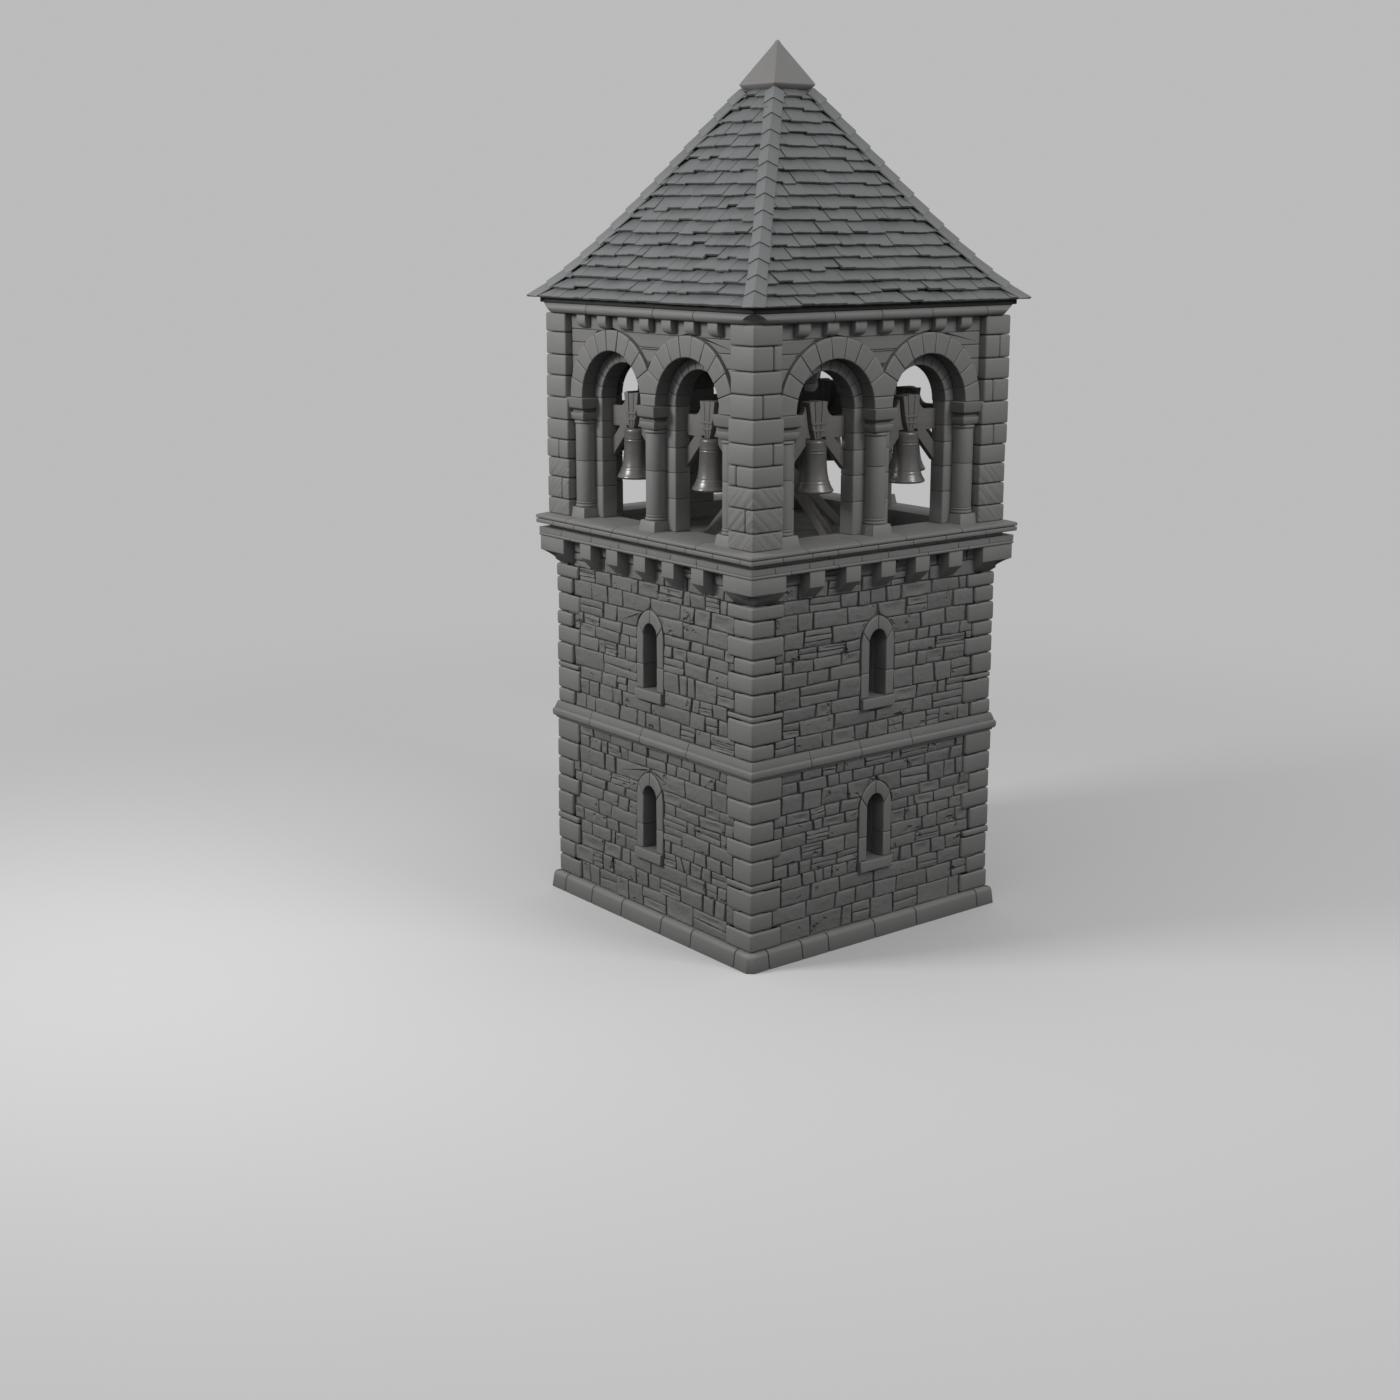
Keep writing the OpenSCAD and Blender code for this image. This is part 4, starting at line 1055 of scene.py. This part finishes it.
def capitalStones():
    heap, rng = fresh(capitals["seed"])
    foot, top = heightsOf("column_capitals")
    steps = capitals["neckSteps"]
    neck = top - capitals["square"][0][1] - foot
    swell = [math.sin(math.pi * k / steps) for k in range(steps + 1)]
    h = columnH
    for turn, u in columnPlaces():
        tone = toneOf(rng, capitals["spread"])
        rings = []
        for half, down, edge, dirtAndShade in capitals["square"]:
            square = rectangle(h - half, u - half, h + half, u + half)
            square = eased(square, capitals["corner"], range(4))
            rings.append((level(square, top - down), edge, dirtAndShade))
        heap.loft(turn, tone, rings)
        rings = []
        # the neck's swell is marked lighter as a painted highlight, its ends darker as painted shade
        for k, out in enumerate(swell):
            plan = roundPlan(u, shaftRound + capitals["neckOut"] * out)
            rings.append((level(plan, foot + neck * k / steps), out * 0.5, 0.5 - out * 0.5))
        heap.loft(turn, tone, rings)
    dressedPiece("capital_stones", heap, "column_capitals")


shaftDrums()
capitalStones()

# eaves
eaves = {"seed": 83, "inner": 2.245, "lengths": (1.0, 2.1), "joint": 0.012, "splay": 0.16, "splayLip": 0.02,
         "points": 13}
softened("eaves_corbels", "eaves_corbel_stones", [dressedStone], width=0.012, spread=0.12)


def eavesStones():
    heap, rng = fresh(eaves["seed"])
    foot, top = heightsOf("eaves_cornice")
    out = reachOf("eaves_cornice")
    section = halfRound(out, foot, top, eaves["inner"], eaves["points"])
    # the splay under each corner, as the reach along the diagonal that it leaves at each height
    flat = math.sqrt(2) * (out - (top - foot) / 2) + eaves["splayLip"]
    left = [flat - eaves["splay"] * (top - z) / (top - foot) for h, z in section]
    for turn in sides.values():
        stops = stopsAlong(out, *eaves["lengths"], rng)
        layRun(heap, turn, section, stops, rng, eaves["joint"], diagonal=left)
    dressedPiece("eaves_stones", heap, "eaves_cornice")


eavesStones()
# the wall plate takes the timber that is painted dark as shade
softened("wall_plate", "plate_timbers", [shadedPlateTimber], width=0.01)

# roof: boards, slates in courses and tiles along the hips
roof = {"seed": 97, "top": 0.395, "bend": 0.1, "bendLength": 0.2, "steps": 400, "foot": 0.15, "smoothTo": 30}
slates = {"courses": 18, "overlap": 1.22, "thick": 0.044, "thickShares": (0.75, 1.25), "lift": 0.08,
          "under": 0.112, "widths": (0.22, 0.46), "narrowest": 0.2, "least": 0.05, "gap": 0.0015,
          "measuredAt": 0.4, "hipGap": 0.03, "pastHip": 0.06, "hipEdge": 0.012,
          "tail": (0, 0.33, 0.67, 1), "chip": 0.006, "ragged": 0.026, "slipped": 0.06, "slips": (-0.06, 0.07),
          "raised": 0.16, "raise": (0.01, 0.03), "spread": 0.2}
boards = {"count": 22, "thick": 0.03, "from": 0.09, "gap": 0.003, "under": 0.004, "tones": (0.2, 0.8)}
roofFoot, roofTop = heightsOf("roof")
roofShares = np.linspace(0, 1, roof["steps"])
spanLeft = (1 - roofShares) * (1 - roof["bend"] * (1 - np.exp(-roofShares / roof["bendLength"])))
slopeH = roof["top"] + (reachOf("roof") - roof["top"]) * spanLeft
slopeZ = roofFoot + (roofTop - roofFoot) * roofShares
slopeD = np.concatenate(([0], np.cumsum(np.hypot(np.diff(slopeH), np.diff(slopeZ)))))
slopeRun = np.gradient(slopeH, slopeD)
slopeRise = np.gradient(slopeZ, slopeD)
slopeH = np.concatenate(([slopeH[0] - roof["foot"] * slopeRun[0]], slopeH))  # led on below the eaves
slopeZ = np.concatenate(([slopeZ[0] - roof["foot"] * slopeRise[0]], slopeZ))
slopeD = np.concatenate(([-roof["foot"]], slopeD))
slopeRun = np.concatenate((slopeRun[:1], slopeRun))
slopeRise = np.concatenate((slopeRise[:1], slopeRise))
slopeLength = slopeD[-1]


def onSlope(d, off):  # distance out and height of points up the slope, moved off it squarely
    run = np.interp(d, slopeD, slopeRun)
    rise = np.interp(d, slopeD, slopeRise)
    return np.interp(d, slopeD, slopeH) + off * rise, np.interp(d, slopeD, slopeZ) - off * run


def layOnSlope(heap, turn, outline, low, high, tone, ease=0.003):
    # outline of (u, d); low and high are the heights of the underside and the top over the slope
    outline = np.asarray(outline, float)
    rings = []
    # the underside is darkened as dirt and painted shade, the top edge lightened as wear and a painted
    # highlight
    for flat, off, edge, dirtAndShade in ((outline, low, 0, 0.9), (outline, high - ease, 0.9, 0.1),
                                  (inset(outline, ease), high, 0.35, 0)):
        h, z = onSlope(flat[:, 1], off)
        rings.append((np.column_stack((h, flat[:, 0], z)), edge, dirtAndShade))
    heap.loft(turn, tone, rings)


def slateOutline(u, wide, tail, drop, head, rng):  # a ragged tail, and sides that stop at the hips
    gap = slates["gap"]
    chip = slates["chip"]
    outline = [(u + gap + (wide - 2 * gap) * share, tail + drop + rng.uniform(-chip, chip))
               for share in slates["tail"]]
    outline += [(u + wide - gap, head), (u + gap, head)]
    outline = np.array(outline)
    bound = np.interp(outline[:, 1], slopeD, slopeH) - slates["hipEdge"]
    outline[:, 0] = np.clip(outline[:, 0], -bound, bound)
    return outline


def roofSide(name, turn):
    heap, rng = fresh(roof["seed"] + turn)
    gauge = slopeLength / slates["courses"]
    for k in range(slates["courses"]):
        tail = k * gauge
        head = min(tail + gauge * slates["overlap"], slopeLength)
        limit = float(np.interp(tail + gauge * slates["measuredAt"], slopeD, slopeH)) - slates["hipGap"]
        u = -limit - slates["pastHip"]
        while u < limit:
            wide = rng.uniform(*slates["widths"])
            if limit - u - wide < slates["narrowest"]:
                wide = limit + slates["pastHip"] - u
            drop = rng.uniform(-slates["ragged"], slates["ragged"]) if k else 0
            if k and rng.random() < slates["slipped"]:
                drop = rng.choice(slates["slips"])
            lift = slates["lift"]
            if rng.random() < slates["raised"]:
                lift += rng.uniform(*slates["raise"])
            thick = slates["thick"] * rng.uniform(*slates["thickShares"])
            outline = slateOutline(u, wide, tail, drop, head, rng)
            if np.ptp(outline[:len(slates["tail"]), 0]) > slates["least"]:
                up = np.clip((outline[:, 1] - tail) / (head - tail), 0, 1)
                under = lift * (1 - up) - slates["under"]
                layOnSlope(heap, turn, outline, under, under + thick, toneOf(rng, slates["spread"]))
            u += wide
    makePiece(name + "_slates", heap, roofSlate[turn % 180], stands=["roof"],
              smoothTo=roof["smoothTo"])


def roofBoards(turns, name, axis):
    heap, rng = fresh(roof["seed"])
    step = slopeLength / boards["count"]
    high = -slates["under"] - boards["under"]
    low = high - boards["thick"]
    for turn in turns:
        for k in range(boards["count"]):
            d0 = k * step + (boards["gap"] if k else boards["from"])
            d1 = (k + 1) * step - boards["gap"]
            h0, h1 = [float(onSlope(d, low)[0]) for d in (d0, d1)]
            outline = [(-h0, d0), (h0, d0), (h1, d1), (-h1, d1)]
            layOnSlope(heap, turn, outline, low, high, rng.uniform(*boards["tones"]))
    makePiece(name, heap, timber[axis], smoothTo=roof["smoothTo"])


# tiles bent over the hips, their ends square to the hip, but for the tail of the lowest
# shape gives shares of a tile's length and of its thickness there
hips = {"seed": 103, "count": 14, "overlap": 1.2, "wing": 0.2, "wingShares": (0.94, 1.04), "thick": 0.028,
        "lift": 0.03, "seat": -0.012, "ridge": 0.012, "foot": 0.05, "short": 0.066, "uneven": 0.012,
        "shape": ((0, 0.35), (0.012, 0.85), (0.04, 1), (1, 1)), "edgeOut": 0.003, "edgeIn": 0.008,
        "shoulder": (0.55, 0.3), "rib": 0.06, "dip": 0.004, "tone": 0.55, "spread": 0.12, "smoothTo": 35}


def hipTiles():
    heap, rng = fresh(hips["seed"])
    step = slopeLength / hips["count"]
    for turn in sides.values():
        for k in range(hips["count"]):
            wing = hips["wing"] * rng.uniform(*hips["wingShares"])
            tone = toneOf(rng, hips["spread"], hips["tone"])
            tail = k * step + (rng.uniform(-hips["uneven"], hips["uneven"]) if k else -hips["foot"])
            head = min((k + hips["overlap"]) * step, slopeLength - hips["short"])
            rings = []
            for share, swell in hips["shape"]:
                low = hips["lift"] * (1 - share) + hips["seat"]
                high = low + hips["thick"] * swell
                d = tail + (head - tail) * share
                section = hipSection(d, low, high, wing, 1 if k else share)
                rings.append((section, 1 - share, 0) if share else (section, 0.3, 0.5))
            heap.loft(turn, tone, rings)
    makePiece("hip_tile_rows", heap, roofSlate[0], stands=["hip_tiles"],
              smoothTo=hips["smoothTo"])


def hipSection(d, low, high, wing, square):  # across the hip at u = h, from one wing's edge to the other's
    run = float(np.interp(d, slopeD, slopeRun))
    size = math.hypot(1, run)

    def point(aside, off):  # so far from the hip, squarely to it or level
        h, z = onSlope(d + aside * run / size * square, off)
        hipU = float(np.interp(d, slopeD, slopeH)) + off * float(np.interp(d, slopeD, slopeRise))
        return (float(h), hipU - aside * (size - run * run * square / size), float(z))

    ridge = high + hips["ridge"]
    out, up = hips["shoulder"]
    half = [point(wing, low), point(wing + hips["edgeOut"], (low + high) / 2),
            point(wing - hips["edgeIn"], high), point(wing * out, high + up * hips["ridge"]),
            point(hips["rib"], ridge)]
    other = [(u, h, z) for h, u, z in half]
    return [point(0, low)] + half + [point(0, ridge - hips["dip"])] + other[::-1]


for side, turn in sides.items():
    roofSide(side, turn)
roofBoards((0, 180), "roof_boards_y", "y")
roofBoards((90, 270), "roof_boards_x", "x")
hipTiles()

# cap stone over the heads of the hip tiles, its underside running in under the slates
# low gives steps in from its reach and up from its foot, tip half widths and steps under its tip,
# both with wear and painted highlight, and dirt and painted shade, darkest on the underside
cap = {"over": 0.024, "round": 0.02, "roundShare": 0.4, "tone": 0.55, "smoothTo": 40,
       "low": ((0.13, -0.1, 0, 1), (0.045, -0.062, 0.1, 0.6), (0.008, -0.004, 0.3, 0.3), (0, 0.014, 0.7, 0),
               (0.005, 0.032, 0.8, 0), (0.014, 0.048, 0.4, 0)),
       "tip": ((0.052, 0.066, 0.4, 0), (0.038, 0.034, 0.8, 0), (0.022, 0.012, 1, 0), (0.009, 0.002, 1, 0))}


def capStone():
    heap = Heap()
    reach = reachOf("roof_cap") + cap["over"]
    foot, tip = heightsOf("roof_cap")
    levels = [(reach - inwards, foot + up, edge, dirtAndShade) for inwards, up, edge, dirtAndShade in cap["low"]]
    levels += [(half, tip - down, edge, dirtAndShade) for half, down, edge, dirtAndShade in cap["tip"]]
    rings = []
    for half, z, edge, dirtAndShade in levels:
        radius = min(cap["round"], half * cap["roundShare"])
        plan = eased(rectangle(-half, -half, half, half), radius, range(4))
        rings.append((level(plan, z), edge, dirtAndShade))
    heap.loft(0, cap["tone"], rings)
    dressedPiece("cap_stone", heap, "roof_cap", cap["smoothTo"])


capStone()

# timbers: floors of boards, the post and its struts, the bell brackets
floors = {"seed": 101, "board": 0.21, "gap": 0.003, "joints": (-1.2, 1.2), "worn": (0, 0.005), "round": 0.006,
          "spread": 0.25}


def boardFloor(node, name):
    heap, rng = fresh(floors["seed"])
    low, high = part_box(node)
    count = round((high.x - low.x) / floors["board"])
    step = (high.x - low.x) / count
    for k in range(count):
        h0 = low.x + k * step
        at = rng.uniform(*floors["joints"])
        for u0, u1 in ((low.y, at), (at, high.y)):
            plan = inset(rectangle(h0, u0, h0 + step, u1), floors["gap"] / 2)
            top = high.z - rng.uniform(*floors["worn"])
            layBlock(heap, 0, plan, low.z, top, rng, floors["round"], floors["spread"])
    makePiece(name, heap, timber["y"], stands=[node])


boardFloor("upper_floor", "upper_floor_boards")
boardFloor("belfry_floor", "belfry_floor_boards")
softened("belfry_post", "post_timber", list(timber.values()), width=0.014)
softened("raking_struts", "strut_timbers", list(timber.values()), width=0.012)
for side, turn in sides.items():
    softened(side + "_brackets", side + "_bracket_timbers", list(frameTimber.values()),
             width=0.01, axis="y" if turn % 180 == 0 else "x")

# bells and headstocks, each on its own swinging body
# late and power shape the flare; wires are shares of the way down and how far each stands out
bells = {"shoulder": 0.217, "crownRound": 0.05, "wall": 0.022, "lip": 0.078, "lipRound": 0.036,
         "lipTurn": (-0.3, -1.57), "lipIn": 0.02, "lipUp": 0.006, "lipPower": 6, "innerCrown": 0.15,
         "segments": 72, "steps": 64, "late": 0.8, "power": 5, "wireWidth": 0.011, "wireShare": 0.7,
         "wires": ((0.155, 0.004), (0.182, -0.007), (0.209, 0.004), (0.8, -0.008), (0.825, 0.006)),
         "tone": 0.5, "sheenAndPolish": 0.7, "sheenAndPolishBelow": 0.08, "insideShade": 0.5, "smoothTo": 60}


def bellProfile(mouth, tall):  # outside from the crown down and round the lip, then up the inside
    shoulder = bells["shoulder"]
    flare = tall - bells["crownRound"]
    lipR = bells["lipRound"]
    wall = bells["wall"]
    outside = [(0.0, tall)]
    outside += arc(shoulder - bells["crownRound"], flare, bells["crownRound"], math.pi / 2, 0, 7)
    inside = []
    for t in np.linspace(0, 1, bells["steps"]):
        flared = (1 - bells["late"]) * t + bells["late"] * t ** bells["power"]
        r = shoulder + (mouth - shoulder) * flared
        wire = sum(high * math.exp(-((t - at) / bells["wireWidth"]) ** 2) for at, high in bells["wires"])
        thick = wall + (bells["lip"] - wall) * t ** bells["lipPower"]
        z = flare - (flare - lipR) * t
        if t > 0:
            outside.append((min(r + wire, mouth), z))
        inside.append((r - thick, z))
    outside += arc(mouth - lipR, lipR, lipR, *bells["lipTurn"], 6)
    crown = [(bells["innerCrown"], tall - wall), (0.0, tall - wall)]
    return outside, [(mouth - bells["lip"] + bells["lipIn"], bells["lipUp"])] + inside[::-1] + crown


def makeBell(n):
    low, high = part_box(f"bell_{n}")
    x, y = (low.x + high.x) / 2, (low.y + high.y) / 2
    outside, inside = bellProfile((high.x - low.x) / 2, high.z - low.z)
    flare = high.z - low.z - bells["crownRound"]
    heap = Heap()
    count = bells["segments"]
    turns = np.linspace(0, 2 * math.pi, count, endpoint=False)
    ids = []
    for k, (r, z) in enumerate(outside + inside):
        down = (flare - z) / (flare - bells["lipRound"])
        reach = bells["wireWidth"] * bells["wireShare"]
        isWire = any(abs(down - at) < reach for at, out in bells["wires"])
        # wires and lip are marked as polish with a painted highlight, the inside as painted shade
        mark = (bells["tone"], bells["sheenAndPolish"] if isWire or z < bells["sheenAndPolishBelow"] else 0,
                0 if k < len(outside) else bells["insideShade"])
        start = len(heap.points)
        if r < 1e-6:
            heap.points.append((x, y, low.z + z))
            heap.finish.append(mark)
            ids.append([start] * count)
        else:
            heap.points.extend((x + r * math.cos(a), y + r * math.sin(a), low.z + z) for a in turns)
            heap.finish.extend([mark] * count)
            ids.append(list(range(start, start + count)))
    for upper, lower in pairwise(ids):
        for i in range(count):
            j = (i + 1) % count
            corners = [upper[i], lower[i], lower[j], upper[j]]
            heap.faces.append(tuple(dict.fromkeys(corners)))
    makePiece(f"bell_{n}_casting", heap, bellBronze, f"swinging_bell_{n}", [f"bell_{n}"],
              bells["smoothTo"])


# headstocks of upright planks held by two straps, with a pivot pin on each side
stocks = {"seed": 131, "top": 0.42, "waist": 0.28, "foot": 0.13, "planks": (0, 0.3, 0.7, 1), "gap": 0.006,
          "round": 0.016, "uneven": (0, 0.03), "back": (0, 0.012), "straps": (9.1, 9.21), "strapHigh": 0.034,
          "strapOut": 0.007, "strapRound": 0.006, "pin": 0.025, "pinSides": 20, "washer": 2,
          "washerOut": 0.02, "washerIn": 0.03, "pinTone": 0.3, "pinWear": 0.4, "pinDirt": 0.3, "smoothTo": 40}


def makeHeadstock(n):
    heap, rng = fresh(stocks["seed"] + n)
    node = f"headstock_{n}"
    joint = frame["record"]["behaviour"]["joints"][n - 1]
    turn = round(math.degrees(math.atan2(-joint["axis"][0], -joint["axis"][1]))) % 360
    low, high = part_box(node)
    h, u, z = place([((low.x + high.x) / 2, (low.y + high.y) / 2, joint["pos_m"][2])], -turn)[0]
    reach = max(high.x - low.x, high.y - low.y) / 2
    deep = min(high.x - low.x, high.y - low.y) / 2

    def halfAt(at):  # half width at a height
        return float(np.interp(at, (low.z, z, high.z), [stocks[key] / 2 for key in ("foot", "waist", "top")]))

    def side(share, at):
        return u + (2 * share - 1) * halfAt(at), at

    for first, last in pairwise(stocks["planks"]):
        tops = [high.z - rng.uniform(*stocks["uneven"]) for end in "lr"]
        outline = [side(first, low.z), side(last, low.z), side(last, z), side(last, tops[1]),
                   side((first + last) / 2, max(tops)), side(first, tops[0]), side(first, z)]
        back = rng.uniform(*stocks["back"])
        layPlank(heap, turn, inset(outline, stocks["gap"] / 2), h - deep + back, h + deep - back, rng,
                 stocks["round"])
    for at in stocks["straps"]:
        ends = [side(share, at + way * stocks["strapHigh"] / 2) for share, way in rectangle(0, -1, 1, 1)]
        layPlank(heap, turn, ends, h - deep - stocks["strapOut"], h + deep + stocks["strapOut"], rng,
                 stocks["strapRound"])
    turns = np.linspace(0, 2 * math.pi, stocks["pinSides"], endpoint=False)
    stock = halfAt(z)
    outer = stock + stocks["washerOut"]
    wide = stocks["washer"]
    right = [(stock - stocks["washerIn"], wide), (outer, wide), (outer, 1), (reach, 1)]
    rings = []
    for v, size in mirrored(right)[::-1] + right:
        r = stocks["pin"] * size
        points = np.column_stack((h + r * np.cos(turns), np.full(len(turns), u + v), z - r * np.sin(turns)))
        rings.append((points, stocks["pinWear"], stocks["pinDirt"]))
    heap.loft(turn, stocks["pinTone"], rings)
    makePiece(node + "_block", heap, frameTimber["z"], f"swinging_bell_{n}", [node],
              stocks["smoothTo"])


for n in range(1, 9):
    makeBell(n)
    makeHeadstock(n)

# floor, light and camera
# each lamp: the way to it, watts, size
studio = {"floor": 0.75, "floorBounce": 0.03, "backdrop": 0.5, "near": 7, "far": 28, "floorSize": 900,
          "fill": 0.45, "lamps": (((-0.3, -0.86, 0.42), 3350, 7), ((0.8, 0.2, 0.57), 1850, 9)),
          "lampAim": (0, 0, 9), "lampDistance": 26}
camera = {"place": (27.282, -23.279, 12.568), "yaw": 51.669, "pitch": 13.720, "lens": 50.765, "sensor": 36,
          "farthest": 1000}


def show(name, data):
    thing = bpy.data.objects.new(name, data)
    bpy.context.scene.collection.objects.link(thing)
    return thing


def makeFloor(even):
    # the camera sees a pale floor that runs into an even backdrop; light bounces off a darker one
    f = Finish("studio_floor")
    where = f.add("ShaderNodeNewGeometry", {}, {}, "Position")
    seen = f.add("ShaderNodeLightPath", {}, {}, "Is Camera Ray")
    away = f.add("ShaderNodeVectorMath", {"operation": "LENGTH"}, {0: where}, "Value")
    far = f.add("ShaderNodeMapRange", {"interpolation_type": "SMOOTHSTEP"},
                {"Value": away, "From Min": studio["near"], "From Max": studio["far"]})
    pale = [studio["floor"]] * 3 + [1]
    dark = [studio["floorBounce"]] * 3 + [1]
    black = (0, 0, 0, 1)
    lit = f.blend(far, pale, black)
    f.surface(Base_Color=f.blend(seen, dark, lit), Roughness=0.9, Specular_IOR_Level=0.0,
              Emission_Color=f.blend(seen * far, black, even), Emission_Strength=1.0)
    half = studio["floorSize"] / 2
    mesh = bpy.data.meshes.new("studio_floor")
    mesh.from_pydata(level(rectangle(-half, -half, half, half), 0), [], [(0, 1, 2, 3)])
    mesh.materials.append(f.material)
    show("studio_floor", mesh)


def makeLight(even):
    world = bpy.data.worlds.new("studio_sky")
    world.use_nodes = True
    tree = world.node_tree
    rays = tree.nodes.new("ShaderNodeLightPath")
    mix = tree.nodes.new("ShaderNodeMix")
    mix.data_type = "RGBA"
    mix.inputs[6].default_value = [studio["fill"]] * 3 + [1]
    mix.inputs[7].default_value = even
    tree.links.new(rays.outputs["Is Camera Ray"], mix.inputs["Factor"])
    tree.links.new(mix.outputs[2], tree.nodes["Background"].inputs["Color"])
    bpy.context.scene.world = world
    for towards, watts, size in studio["lamps"]:
        data = bpy.data.lights.new("soft_lamp", "AREA")
        data.energy = watts
        data.size = size
        lamp = show("soft_lamp", data)
        towards = Vector(towards).normalized()
        lamp.location = Vector(studio["lampAim"]) + towards * studio["lampDistance"]
        lamp.rotation_euler = towards.to_track_quat("Z", "Y").to_euler()


def makeCamera():
    yaw = math.radians(camera["yaw"])
    pitch = math.radians(camera["pitch"])
    back = Vector((math.sin(yaw) * math.cos(pitch), -math.cos(yaw) * math.cos(pitch), math.sin(pitch)))
    data = bpy.data.cameras.new("photo_view")
    data.lens = camera["lens"]
    data.sensor_width = camera["sensor"]
    data.clip_end = camera["farthest"]
    view = show("photo_view", data)
    view.location = camera["place"]
    view.rotation_euler = (-back).to_track_quat("-Z", "Y").to_euler()
    bpy.context.scene.camera = view


backdrop = [studio["backdrop"]] * 3 + [1]
makeFloor(backdrop)
makeLight(backdrop)
makeCamera()
print("studio ready")
bpy.context.scene.view_settings.view_transform = "Standard"
